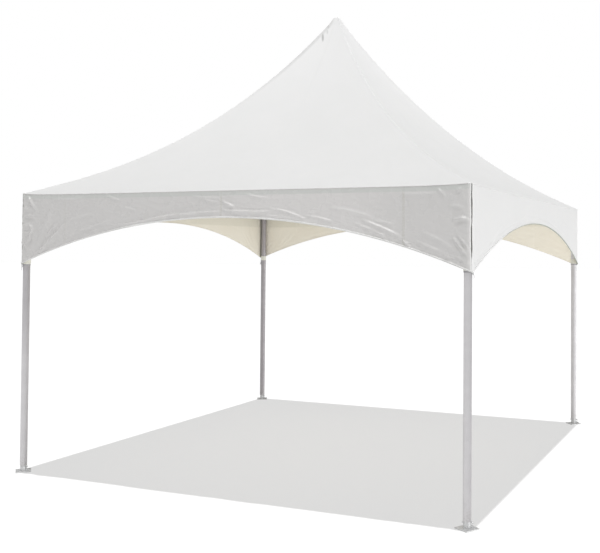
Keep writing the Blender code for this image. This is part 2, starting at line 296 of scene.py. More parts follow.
def add_sun(name, strength, spread, towards):
    """A distant light. towards is the way its light travels."""
    bpy.ops.object.light_add(type="SUN", location=SUN_AT)
    sun = bpy.context.object
    sun.name = name
    sun.data.energy = strength
    sun.data.angle = math.radians(spread)
    sun.rotation_euler = Vector(towards).to_track_quat("-Z", "Y").to_euler()
    return sun


def light_group(name, pieces, state):
    """A light linking group. INCLUDE: these pieces alone. EXCLUDE: all but these."""
    group = bpy.data.collections.new(name)
    for piece in pieces:
        group.objects.link(piece)
    for entry in group.collection_objects:
        entry.light_linking.link_state = state
    return group


def serve(light, receivers, blockers=None):
    """Lights these pieces alone, and lets only the blockers throw its shadows if there are any."""
    light.light_linking.receiver_collection = receivers
    if blockers is not None:
        light.light_linking.blocker_collection = blockers


print("lights can be added and linked")

# %% Sky and floor
SKY_LIGHT = 0.25
SKY_GLOSS = 0.55  # what the metal sees of it
FLOOR_SIZE = 160.0
FLOOR_SINK = 0.001  # the floor lies this much under the feet
FLOOR_GREY, FLOOR_ROUGHNESS = 0.25, 0.9
FLOOR_SEEN = 0.626  # what the floor gives off towards the camera
FLOOR_GLOW = 0.53  # what it gives off towards the tent
PURE_WHITE = (1.0, 1.0, 1.0)


def make_sky():
    world = bpy.data.worlds.new("studio")
    bpy.context.scene.world = world
    world.use_nodes = True
    tree = world.node_tree
    rays = put(tree, "LightPath").outputs
    gloss = maths(tree, "MULTIPLY_ADD", rays["Is Glossy Ray"], SKY_GLOSS - SKY_LIGHT, SKY_LIGHT)
    seen = maths(tree, "MAXIMUM", rays["Is Camera Ray"], gloss)
    feed(tree, tree.nodes["Background"], Color=PURE_WHITE, Strength=seen)


def make_floor():
    bpy.ops.mesh.primitive_plane_add(size=FLOOR_SIZE, location=(0, 0, -FLOOR_SINK))
    floor = bpy.context.object
    floor.name = "studio_floor"
    paint, tree, shader = start_material("studio floor", FLOOR_ROUGHNESS)
    rays = put(tree, "LightPath").outputs
    glow = maths(tree, "MULTIPLY_ADD", rays["Is Camera Ray"], FLOOR_SEEN - FLOOR_GLOW, FLOOR_GLOW)
    feed(tree, shader, Base_Color=(FLOOR_GREY, FLOOR_GREY, FLOOR_GREY), Specular_IOR_Level=0.0,
         Emission_Color=PURE_WHITE, Emission_Strength=glow)
    floor.data.materials.append(paint)
    return floor


bpy.context.scene.view_settings.view_transform = "Standard"
make_sky()
floor = make_floor()
print("sky", SKY_LIGHT, "and floor", FLOOR_SIZE, "m wide")

# %% Put up the lights
TOP_LIGHT, TOP_SPREAD = 0.40, 4.0  # strength, and degrees across
FRONT_LIGHT, FRONT_SPREAD = 1.62, 30.0
FRONT_TILT = math.radians(23)  # from the vertical, towards the camera's side
SIDE_LIGHT, SIDE_SPREAD = 1.00, 60.0
SIDE_TILT = math.radians(85)
SHADOW_LIGHT, SHADOW_SPREAD = 5.00, 0.9  # the floor's own light, straight down
DOWN = (0.0, 0.0, -1.0)
FROM_THE_RIGHT = (-math.sin(SIDE_TILT), 0.0, -math.cos(SIDE_TILT))
front_legs = [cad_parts[f"leg_{corner}"] for corner in CORNERS[:2]]
all_but_floor = light_group("all but the floor", [floor], "EXCLUDE")
top_light = add_sun("top_light", TOP_LIGHT, TOP_SPREAD, DOWN)
front_light = add_sun("front_light", FRONT_LIGHT, FRONT_SPREAD,
                      (0.0, math.sin(FRONT_TILT), -math.cos(FRONT_TILT)))
side_light = add_sun("side_light", SIDE_LIGHT, SIDE_SPREAD, FROM_THE_RIGHT)
serve(top_light, all_but_floor, all_but_floor)
serve(front_light, all_but_floor, all_but_floor)
serve(side_light, light_group("cloth and back legs", [floor, *front_legs], "EXCLUDE"),
      all_but_floor)
shadow_light = add_sun("shadow_light", SHADOW_LIGHT, SHADOW_SPREAD, DOWN)
serve(shadow_light, light_group("floor alone", [floor], "INCLUDE"))
print("lights:", [light.name for light in (top_light, front_light, side_light, shadow_light)])

# %% [markdown]
# ## Effects that several finishes share
# Cloud: large soft patches, for handling marks and slight unevenness. Cloth: the grid of
# the woven base that shows through a vinyl coat. Splash: dust and dried splashes that
# thin out above the ground.

# %% Shared node groups
THREADS = 450.0  # of the woven base, per metre


def cloud_group():
    tree, given, out = start_group("soft cloud", {"Scale": 3.0, "Detail": 4.0}, "Value")
    cloud = noise_over(tree, given["Scale"], given["Detail"], Roughness=0.55)
    feed(tree, out, Value=ramp(tree, cloud, 0.30, 0.70))
    return tree


def cloth_group():
    """Threads both ways, read off the piece's UV map."""
    tree, given, out = start_group("woven base", {"Threads": THREADS}, "Height")
    flat = axes(tree, "UV")
    turns = [times(tree, flat[axis], given["Threads"]) for axis in ("X", "Y")]
    waves = [maths(tree, "SINE", times(tree, turn, 2 * math.pi)) for turn in turns]
    feed(tree, out, Height=maths(tree, "MULTIPLY_ADD", times(tree, *waves), 0.5, 0.5))
    return tree


def splash_group():
    tree, given, out = start_group("ground splash", {"Height": 0.25, "Amount": 0.5}, "Value")
    up = maths(tree, "DIVIDE", axes(tree)["Z"], given["Height"])
    low = maths(tree, "MAXIMUM", maths(tree, "SUBTRACT", 1.0, up), 0.0)
    spots = ramp(tree, noise_over(tree, 90.0, 5.0), 0.42, 0.66)
    mask = times(tree, maths(tree, "POWER", low, 2.0),
                 maths(tree, "MULTIPLY_ADD", spots, 0.8, 0.2))
    feed(tree, out, Value=times(tree, mask, given["Amount"]))
    return tree


CLOUD, CLOTH, SPLASH = cloud_group(), cloth_group(), splash_group()
print("groups:", [group.name for group in (CLOUD, CLOTH, SPLASH)])

# %% [markdown]
# ## Vinyl
# The canopy is woven polyester with a glossy white vinyl coat, and a cream coat inside.
# One function makes all its finishes. Its colour drifts a little in large patches, a fine crumple
# breaks up the gloss, and the woven base shows faintly in the coat. Welds, hem, painted shade and
# painted highlights are masks: formulas on a place or on a distance, because they then stay sharp from
# close by.

# %% Colours of the canopy
WHITE = (0.865, 0.865, 0.860)
WHITE_DULL = (0.852, 0.854, 0.848)
PEAK_PAINTED_LIGHT = (0.900, 0.900, 0.898)  # painted light: the steep upper roof is painted paler than the rest
GATHER_SHADE_GREY = (0.560, 0.560, 0.555)  # painted shade in the gathers beside the peak
# painted shade along the front left hip, near the peak
HIP_SHADE = (0.740, 0.740, 0.735)
CURTAIN_SHADED = (0.672, 0.660, 0.652)  # the valances' outer face, painted darker than the roof as shade
CURTAIN_SHADED_DULL = (0.650, 0.643, 0.634)
CURTAIN_PALE = (0.712, 0.699, 0.690)  # right of the middle, paler
CURTAIN_LEFT = (0.640, 0.630, 0.622)
CURTAIN_UNSHADED = (0.830, 0.830, 0.825)  # the right one, lighter: the others carry painted shade
CURTAIN_UNSHADED_DULL = (0.820, 0.821, 0.817)
# painted highlight on the hem's rope, and on a valance's right end
BEAD_HIGHLIGHT = (0.830, 0.830, 0.820)
WELD_TINT = (0.610, 0.600, 0.572)
# painted shade under the roof's lip
EAVE_SHADE = (0.590, 0.612, 0.588)
ROPE_SHADE = (0.340, 0.365, 0.310)  # painted shade on the underside of the hem's rope
CREAM = (0.860, 0.825, 0.735)
CREAM_DULL = (0.835, 0.795, 0.700)
# painted shade along the top of the lining, over the doubled strip
STRIP_SHADE = (0.760, 0.732, 0.640)
END_SHADE = (0.540, 0.560, 0.460)  # painted shade inside each end of a valance, in the gap by its leg
BAND_LOW_Z = 2.210  # the doubled strip inside a valance, and its painted shade, reach down to here
ROLL_WIDTH = 1.53  # the cloth comes in rolls of this width
DOWNHILL = (0.28, -0.53, -0.84)  # how the gathers beside the peak run
GATHER_SHADE_SPOTS = (((-0.081, -0.153, 4.027), 0.015, 0.074, 1.0),  # painted shade spots: place, width, length, strength
           ((-0.059, -0.075, 4.152), 0.015, 0.036, 0.6),
           ((-0.050, -0.116, 4.089), 0.013, 0.044, 0.45))
print("colours ready, rolls", ROLL_WIDTH, "m wide")

# %% Edges of the masks
# Each pair says where a mask starts and where it is full.
ROOF_WELD = (0.013, 0.010)  # metres from the weld's middle
PEAK_LIGHT_HEIGHTS = (2.9, 4.0)  # height over which the painted light on the upper roof sets in
HIP_NEAR, HIP_LEFT, HIP_HIGH = (0.060, 0.015), (0.00, -0.04), (3.1, 3.9)
GATHER_EDGE = (1.1, 0.4)  # share of its size
LIP_EDGE = (ROOF_HALF - 0.0010, ROOF_HALF + 0.0006)
PALEST_AT, PALE_REACH = 0.70, (1.0, 0.3)  # metres along a valance
LEFT_REACH = (-0.7, -1.4)
WELD_NEAR, WELD_ALONG = (0.012, 0.009), (-1.3, -0.9)
EAVE_SHADE_EDGE = (0.042, 0.034)  # metres under the eave, where the painted shade under the lip runs out
BEAD_EDGE, BEAD_FADE = (0.016, 0.012), 0.5  # metres over the hem, metres along
HIGHLIGHT_ALONG = (1.5, 1.1)
END_HIGHLIGHT_EDGE, END_HIGHLIGHT_ALONG = (0.012, 0.007), (1.5, 1.8)  # metres from its end, metres along
ROPE_SHADE_EDGE, ROPE_SHADE_ALONG = (0.0095, 0.0065), (-1.32, -1.12)
STRIP_EDGE, END_SHADE_EDGE = (BAND_LOW_Z - 0.010, BAND_LOW_Z + 0.010), (0.038, 0.030)
print("a weld of the roof is", 2 * ROOF_WELD[1], "m wide")

# %% Vinyl, and the roof's outer face
WEAVE_BUMP, WELD_BUMP = (0.04, 0.0004), (0.3, 0.0006)  # strength, metres
CREASE_DEEP = 0.004
WELD_SHADE = 0.25


def vinyl(name, clean, dull, roughness, crumple):
    made, tree, shader = start_material(name, roughness)
    colour = mix_colours(tree, use_group(tree, CLOUD, Scale=2.2, Detail=3.0), clean, dull)
    rough = use_group(tree, CLOUD, Scale=9.0, Detail=5.0)
    feed(tree, shader, Roughness=maths(tree, "MULTIPLY_ADD", rough, 0.12, roughness - 0.05),
         Specular_IOR_Level=0.45)
    normal = bump(tree, shader, use_group(tree, CLOTH, Threads=THREADS), *WEAVE_BUMP)
    creases = noise_over(tree, 16.0, 3.0, Roughness=0.5, Distortion=0.6)
    normal = bump(tree, shader, creases, crumple, CREASE_DEEP, before=normal)
    return made, tree, shader, colour, normal


def gather_shades(tree):
    """The masks of painted shade in the gathered cloth beside the peak, each with its colour."""
    turn = Vector(DOWNHILL).to_track_quat("Z", "Y").to_euler()
    for centre, wide, long, strength in GATHER_SHADE_SPOTS:
        spot = put(tree, "Mapping", {"vector_type": "TEXTURE"}, Vector=place_of(tree),
                   Location=centre, Scale=(wide, wide, long), Rotation=turn)
        away = put(tree, "VectorMath", {"operation": "LENGTH"}, Vector=spot.outputs[0])
        yield ramp(tree, away.outputs["Value"], *GATHER_EDGE, 0.0, strength), GATHER_SHADE_GREY


def roof_outside():
    """White, with the weld lines where two widths of the roll meet."""
    made, tree, shader, colour, normal = vinyl("roof vinyl", WHITE, WHITE_DULL, roughness=0.42,
                                               crumple=0.10)
    x, y, z = axes(tree)
    wide_x, wide_y = (maths(tree, "ABSOLUTE", axis) for axis in (x, y))
    across = maths(tree, "MINIMUM", wide_x, wide_y)
    outer = maths(tree, "ABSOLUTE", maths(tree, "SUBTRACT", across, ROLL_WIDTH))
    weld = ramp(tree, maths(tree, "MINIMUM", outer, across), *ROOF_WELD)
    bump(tree, shader, weld, *WELD_BUMP, before=normal)
    # Painted shade: a darker strip along the front left hip, close to the peak.
    hip = maths(tree, "ABSOLUTE", maths(tree, "SUBTRACT", x, y))
    hip = times(tree, ramp(tree, hip, *HIP_NEAR), ramp(tree, x, *HIP_LEFT))
    hip = times(tree, hip, ramp(tree, z, *HIP_HIGH))
    # Painted shade: the roof's lip over the front, back and left valances takes their darker colour.
    lip_shade = ramp(tree, maths(tree, "MAXIMUM", wide_y, times(tree, x, -1.0)), *LIP_EDGE)
    # Painted light: the upper roof is painted paler towards the peak.
    colour = overlay(tree, colour, (ramp(tree, z, *PEAK_LIGHT_HEIGHTS), PEAK_PAINTED_LIGHT),
                     (times(tree, weld, WELD_SHADE), WHITE_DULL), (hip, HIP_SHADE), *gather_shades(tree),
                     (lip_shade, CURTAIN_SHADED))
    feed(tree, shader, Base_Color=colour)
    return made


print("roof face ready")

# %% The valances' faces
STRIP_BUMP = (0.6, 0.001)  # strength, metres
FLECKS, HIGHLIGHT_NOISE = (0.40, 0.62), (0.42, 0.58)  # where the noises turn from low to high
HIGHLIGHT_SHARE = (0.1, 0.65)


def plain_vinyl(name, clean, dull, roughness, crumple):
    made, tree, shader, colour, _ = vinyl(name, clean, dull, roughness, crumple)
    feed(tree, shader, Base_Color=colour)
    return made


def measure(tree, name):
    """A distance that a valance's mesh carries at each point: above_hem, from_end and so on."""
    return put(tree, "Attribute", {"attribute_name": name}).outputs["Fac"]


def valance_outside(name, clean, dull, roughness, crumple, line_share, highlight_from, rope_shade_share):
    """White, with darker welds, painted shade under the eave and under the hem's rope, and painted
    highlights on the rope and at the right end.
    """
    made, tree, shader, colour, _ = vinyl(name, clean, dull, roughness, crumple)
    along, above_hem = axes(tree, "UV")["X"], measure(tree, "above_hem")
    pale = maths(tree, "ABSOLUTE", maths(tree, "SUBTRACT", along, PALEST_AT))
    pale = ramp(tree, pale, *PALE_REACH, 0.0, line_share)
    left = ramp(tree, along, *LEFT_REACH, 0.0, 0.8 * line_share)
    weld = times(tree, ramp(tree, measure(tree, "from_weld"), *WELD_NEAR),
                 ramp(tree, along, *WELD_ALONG, 0.4, 1.0))
    flecks = noise_over(tree, 75.0, 2.0)
    weld = times(tree, weld, ramp(tree, flecks, *FLECKS, 0.35 * line_share, line_share))
    # Painted shade under the roof's lip.
    eave = ramp(tree, measure(tree, "under_eave"), *EAVE_SHADE_EDGE, 0.0, 0.6 * line_share)
    # Painted highlight along the top of the hem's rope, uneven along it.
    bead_highlight = times(tree, ramp(tree, above_hem, *BEAD_EDGE),
                 ramp(tree, along, highlight_from, highlight_from + BEAD_FADE, 0.45, 1.0))
    highlight_strength = ramp(tree, noise_over(tree, 7.0, 2.0), *HIGHLIGHT_NOISE, *HIGHLIGHT_SHARE)
    highlight_strength = maths(tree, "MAXIMUM", highlight_strength, ramp(tree, along, *HIGHLIGHT_ALONG))
    # Painted highlight along the valance's right end, beside the slit.
    end_highlight = times(tree, ramp(tree, measure(tree, "from_end"), *END_HIGHLIGHT_EDGE),
                   ramp(tree, along, *END_HIGHLIGHT_ALONG, 0.0, 0.9 * line_share))
    # Painted shade on the underside of the hem's rope.
    edge = times(tree, ramp(tree, above_hem, *ROPE_SHADE_EDGE, 0.0, rope_shade_share),
                 ramp(tree, along, *ROPE_SHADE_ALONG))
    colour = overlay(tree, colour, (pale, CURTAIN_PALE), (left, CURTAIN_LEFT), (weld, WELD_TINT),
                     (eave, EAVE_SHADE), (times(tree, bead_highlight, highlight_strength), BEAD_HIGHLIGHT),
                     (end_highlight, BEAD_HIGHLIGHT), (edge, ROPE_SHADE))
    feed(tree, shader, Base_Color=colour)
    return made


def valance_inside():
    """Cream, with painted shade in a band along the top, where the lining is doubled, and at each end
    by the leg.
    """
    made, tree, shader, colour, normal = vinyl("valance lining", CREAM, CREAM_DULL,
                                               roughness=0.55, crumple=0.10)
    # Painted shade along the top of the lining; the doubled strip there is a bump.
    strip = ramp(tree, axes(tree)["Z"], *STRIP_EDGE)
    bump(tree, shader, strip, *STRIP_BUMP, before=normal)
    # Painted shade inside each end of the valance, by the leg.
    end = ramp(tree, measure(tree, "from_end"), *END_SHADE_EDGE)
    feed(tree, shader, Base_Color=overlay(tree, colour, (strip, STRIP_SHADE), (end, END_SHADE)))
    return made


print("valance faces ready")

# %% Make the six vinyls
ROOF_OUTSIDE = roof_outside()
# Painted shade: the front, back and left valances take the darker valance colour.
CURTAIN_OUTSIDE = valance_outside("valance vinyl", CURTAIN_SHADED, CURTAIN_SHADED_DULL, roughness=0.27,
                                  crumple=0.22, line_share=1.0, highlight_from=-1.2, rope_shade_share=0.1)
# Light rakes along the left valance, so its crumple is low.
LEE_OUTSIDE = valance_outside("smoother valance vinyl", CURTAIN_SHADED, CURTAIN_SHADED_DULL, roughness=0.36,
                              crumple=0.04, line_share=1.0, highlight_from=-1.2, rope_shade_share=0.1)
# The right one carries no painted shade on its face and no dark welds; it has a painted highlight
# along its whole rope and painted shade under the rope.
UNSHADED_OUTSIDE = valance_outside("unshaded valance vinyl", CURTAIN_UNSHADED, CURTAIN_UNSHADED_DULL,
                                roughness=0.42, crumple=0.03, line_share=0.0, highlight_from=-4.0,
                                rope_shade_share=1.0)
CANOPY_INSIDE = plain_vinyl("canopy lining", CREAM, CREAM_DULL, roughness=0.55, crumple=0.10)
VALANCE_INSIDE = valance_inside()
print("vinyl finishes:", [finish.name for finish in (
    ROOF_OUTSIDE, CURTAIN_OUTSIDE, LEE_OUTSIDE, UNSHADED_OUTSIDE, CANOPY_INSIDE, VALANCE_INSIDE)])

# %% [markdown]
# ## Small tools for shapes
# These show an object, make it the active one, smooth it, give it a modifier and apply
# that, and turn points and faces into a sheet with its flat places as UV map.

# %% Helpers for meshes
def show(name, data):
    """A new object in the scene."""
    obj = bpy.data.objects.new(name, data)
    bpy.context.scene.collection.objects.link(obj)
    return obj


def only(obj):
    """Makes one object the selected and active one."""
    if bpy.context.object and bpy.context.object.mode != "OBJECT":
        bpy.ops.object.mode_set(mode="OBJECT")
    bpy.ops.object.select_all(action="DESELECT")
    obj.select_set(True)
    bpy.context.view_layer.objects.active = obj


def smooth_all(obj):
    obj.data.polygons.foreach_set("use_smooth", [True] * len(obj.data.polygons))


def apply_modifier(obj, kind, **settings):
    """Gives the active object a modifier and applies it."""
    made = obj.modifiers.new(kind.lower(), kind)
    for name, value in settings.items():
        setattr(made, name, value)
    bpy.ops.object.modifier_apply(modifier=made.name)


def cloth_object(name, points, faces, uvs):
    """A sheet with a UV map in metres, from its points, faces and flat places."""
    mesh = bpy.data.meshes.new(name)
    mesh.from_pydata([tuple(p) for p in points], [], faces)
    layer = mesh.uv_layers.new(name="cut")
    loops = np.zeros(len(mesh.loops), dtype=np.int32)
    mesh.loops.foreach_get("vertex_index", loops)
    layer.data.foreach_set("uv", np.asarray(uvs, dtype=np.float32)[loops].ravel())
    return show(name, mesh)


print("shape helpers ready")

# %% [markdown]
# ## The roof
# The roof is one continuous sheet: four gores welded along the hips, drawn up to the
# mast. A flat grid can't follow it, so rings of points run round the roof from the tip to
# the eave, and the formula lifts each point. Columns crowd at the hips, where the
# welded overlap stands up a little. At the eave the sheet turns down over the valances.

# %% Rings of points
VINYL = 0.001  # thickness of the sheet
WELD_HALF = 0.016  # half the width of a hip's weld, in plan
WELD_EDGE = 0.004  # how softly it ends
WELD_RISE = 0.0009
GORE_COLUMNS = 36  # between the middle of a gore and its hip
HIP_CROWD = np.array([0.046, 0.038, 0.029, WELD_HALF + WELD_EDGE, WELD_HALF, WELD_HALF / 2, 0.0])
CROWD_FROM = 0.25  # nearer to the tip than this, the crowded columns draw together
LIP = ((0.0013, 0.0005), (0.0014, 0.0020), (0.0014, 0.0060))  # out and down
TIP_RINGS = (0.004, 0.008, 0.012, 0.017, 0.022, 0.028, 0.034, 0.041, 0.050, 0.061, 0.073,
             0.087, 0.103)
RING_PITCH = 0.024
ROUNDS_FROM = 1.80  # the hips start to round here, on their way to the legs
LEAST_ROUND = 1e-6  # keeps the corner's radius above nothing


def step(value, low, high):
    """0 below low, 1 above high, and a soft rise between them."""
    t = np.clip((value - low) / (high - low), 0.0, 1.0)
    return t * t * (3 - 2 * t)


def gore_columns(distance, crowd):
    """Places across a gore at a distance from the centre, from the middle to the hip."""
    near = distance - HIP_CROWD * crowd
    return np.concatenate([np.linspace(0.0, near[0], GORE_COLUMNS), near[1:]])


def ring(distance, out=0.0, down=0.0):
    """Points round the roof, corner to corner: front, right, back, left."""
    crowd = min(1.0, distance / CROWD_FROM)
    half = gore_columns(distance, crowd)
    across = np.concatenate([-half[::-1], half[1:-1]])  # a hip belongs to one side only
    from_hip = (distance - np.abs(across)) / crowd
    raised = np.clip((WELD_HALF + WELD_EDGE - from_hip) / WELD_EDGE, 0.0, 1.0) * WELD_RISE
    radius = CORNER_ROUND * float(step(distance, ROUNDS_FROM, ROOF_HALF)) + LEAST_ROUND
    bend = np.clip((np.abs(across) - distance + radius) / radius, 0.0, 1.0) * math.pi / 4
    straight = np.minimum(np.abs(across), distance - radius)
    x = np.sign(across) * (straight + (radius + out) * np.sin(bend))
    y = -(distance - radius + (radius + out) * np.cos(bend))
    points = []
    for quarter in range(4):
        turn = np.array(Matrix.Rotation(quarter * math.pi / 2, 2))
        flat = np.column_stack([across, np.full_like(across, -distance)]) @ turn.T
        z = roof_height(flat[:, 0], flat[:, 1]) + raised - down
        points.append(np.column_stack([np.column_stack([x, y]) @ turn.T, z]))
    return np.concatenate(points)


def thicken(obj, outside, inside):
    """Gives a sheet its thickness inwards, white outside and lined inside."""
    obj.data.materials.append(outside)
    obj.data.materials.append(inside)
    only(obj)
    apply_modifier(obj, "SOLIDIFY", thickness=VINYL, offset=-1.0, material_offset=1,
                   material_offset_rim=0, use_even_offset=True)
    smooth_all(obj)


print("ring of", len(ring(1.0)), "points")

# %% Build the roof sheet
def make_roof():
    first, last = TIP_RINGS[-1] + RING_PITCH * 0.8, ROOF_HALF - RING_PITCH * 0.4
    straight = np.arange(first, last, RING_PITCH)
    rings = [ring(d) for d in (*TIP_RINGS, *straight, ROOF_HALF)]
    rings += [ring(ROOF_HALF, out, down) for out, down in LIP]
    count = len(rings[0])
    points = np.concatenate([[[0.0, 0.0, roof_height(0.0, 0.0)]], *rings])
    faces = []
    for row in range(len(rings) - 1):
        for k in range(count):
            a, b = 1 + row * count + k, 1 + row * count + (k + 1) % count
            faces.append((a, a + count, b + count, b))
    faces += [(0, 1 + k, 1 + (k + 1) % count) for k in range(count)]
    roof = cloth_object("canopy_roof", points, faces, points[:, :2])
    thicken(roof, ROOF_OUTSIDE, CANOPY_INSIDE)
    return roof


roof = make_roof()
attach(roof, "root")
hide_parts(*[f"roof_panel_{side}" for side in SIDES], "peak_cap")
print("roof:", len(roof.data.polygons), "faces")

# %% [markdown]
# ## The valances
# Each valance is cut with an arched hem and hangs from the eave, strapped to the legs at its tips. Its
# pull shows: fans of drag folds rise from the tips, long folds follow the hem, puckers sit at the weld
# lines and the ends are crumpled round the corners. A cloth simulation would give other folds than the
# real ones, so each is listed one by one: a ridge is a path, a width and a height, and it swells and
# fades along its path.

# %% The grid of a valance
HEM = 0.047  # depth of the folded hem
BEAD_R = 0.0068  # the rope sewn into the hem's edge
BEAD_TURNS = (0, 20, 45, 70, 90, 115, 140, 160, 180)
HEM_ROWS = tuple(BEAD_R * (1 - math.cos(math.radians(turn))) for turn in BEAD_TURNS)
HEM_ROWS += (0.0160, 0.021, 0.028, 0.035, 0.040, 0.0425, 0.045, 0.047, 0.0495, 0.052, 0.055)
BODY_ROWS = 60  # between the hem and the eave
TUCK = 0.0018  # the valance's top edge lies this far under the roof's outer face
WELD_LINES = (-1.545, 0.0, 1.53)  # where the cloth's widths meet
LEFT_SECTION = -1.905  # the crumpled end pieces start here
RIGHT_SECTION = 1.878
SPLIT_AT = math.radians(55)  # two valances meet this far round a leg
SLIT = 0.0100  # the gap that they leave
SLIT_LOW_Z = 1.880  # it closes down here
LEFT_END = -(LEG_AT + CORNER_ROUND * (math.pi / 2 - SPLIT_AT)) + SLIT / 2
RIGHT_END = LEG_AT + CORNER_ROUND * SPLIT_AT - SLIT / 2
PITCH, WELD_PITCH, END_PITCH = 0.0085, 0.0035, 0.005  # between two columns
NEAR_WELD = 0.024
LAST_STEP = 0.004  # no column closer to the end than this


def valance_columns():
    """Places along a valance, closer together where small folds need it."""
    places = [LEFT_END]
    while places[-1] < RIGHT_END - LAST_STEP:
        x = places[-1]
        near_weld = min(abs(x - line) for line in WELD_LINES) < NEAR_WELD
        in_section = x < LEFT_SECTION + 0.01 or x > RIGHT_SECTION - 0.02
        places.append(x + (WELD_PITCH if near_weld else END_PITCH if in_section else PITCH))
    places[-1] = RIGHT_END
    return np.array(places)


def eave_over(along):
    """Height of the roof's edge over a place along a valance, round the corners too."""
    past = np.maximum(np.abs(along) - LEG_AT, 0.0) / (CORNER_ROUND * math.pi / 4)
    square = np.minimum(np.abs(along), LEG_AT) + CORNER_ROUND * np.minimum(past, 2 - past)
    return roof_height(np.sign(along) * square, np.full_like(along, -ROOF_HALF))


def valance_grid(quarter):
    """Flat places of a valance's points, with their heights over the hem and under the eave."""
    x = valance_columns()
    hem = hem_height(x, quarter)
    top = eave_over(x) - TUCK
    rows = [hem + rise for rise in HEM_ROWS]
    start = rows[-1]
    rows += [start + (top - start) * k / BODY_ROWS for k in range(1, BODY_ROWS + 1)]
    z = np.stack(rows)
    return np.broadcast_to(x, z.shape), z, z - hem, top - z


def round_legs(along, out):
    """Plan place of a valance's point: straight between two legs, then bent round each."""
    turn = np.maximum(np.abs(along) - LEG_AT, 0.0) / CORNER_ROUND
    radius = CORNER_ROUND + out
    x = np.sign(along) * (np.minimum(np.abs(along), LEG_AT) + radius * np.sin(turn))
    return x, -(LEG_AT + radius * np.cos(turn))


print("valance grid:", valance_grid(0)[0].shape)

# %% Ridges, waves and crumples
FOLD_SOFT, CREASE_SOFT = 1.5, 1.3  # how softly the lower side runs out
FOLD_DEPTH, CREASE_DEPTH = 1.9, 2.1
STEEP_SIDE = 0.65  # the upper side of a fold is this much narrower
SWELL = 0.6  # how fast a fold swells from its ends
CREASE_GAIN, CREASE_SHARP = 1.6, 1.5


def ridge(x, z, path, width, height, soft, upright=False):
    """A fold along a smooth path through a few points, steep above and soft below."""
    path = np.array(path, dtype=float)
    run, rise = (z, x) if upright else (x, z)
    ends, ways = (path[:, 1], path[:, 0]) if upright else (path[:, 0], path[:, 1])
    curve = np.polyfit(ends, ways, min(3, len(path) - 1))
    held = np.clip(run, ends.min(), ends.max())
    slope = np.polyval(np.polyder(curve), held)
    side = (rise - np.polyval(curve, held)) / np.sqrt(1 + slope ** 2)
    along = (run - ends.min()) / (ends.max() - ends.min())
    swell = np.clip(4 * along * (1 - along), 0.0, 1.0) ** SWELL
    spread = np.where(side > 0, STEEP_SIDE * width, soft * width)
    return height * swell * np.exp(-(side / spread) ** 2)


def wave(x, z, long, high, seed):
    """Smooth noise, -1 to 1. long and high are its size in metres."""
    values = [noise.noise(Vector((a / long, b / high, seed))) for a, b in zip(x.ravel(), z.ravel())]
    return np.array(values).reshape(x.shape)


def crumple(x, z, long, high, seed):
    """Creased noise between 0 and 1."""
    creased = 1 - np.abs(wave(x, z, long, high, seed)) * CREASE_GAIN
    return creased.clip(0, 1) ** CREASE_SHARP


print("fold tools ready")

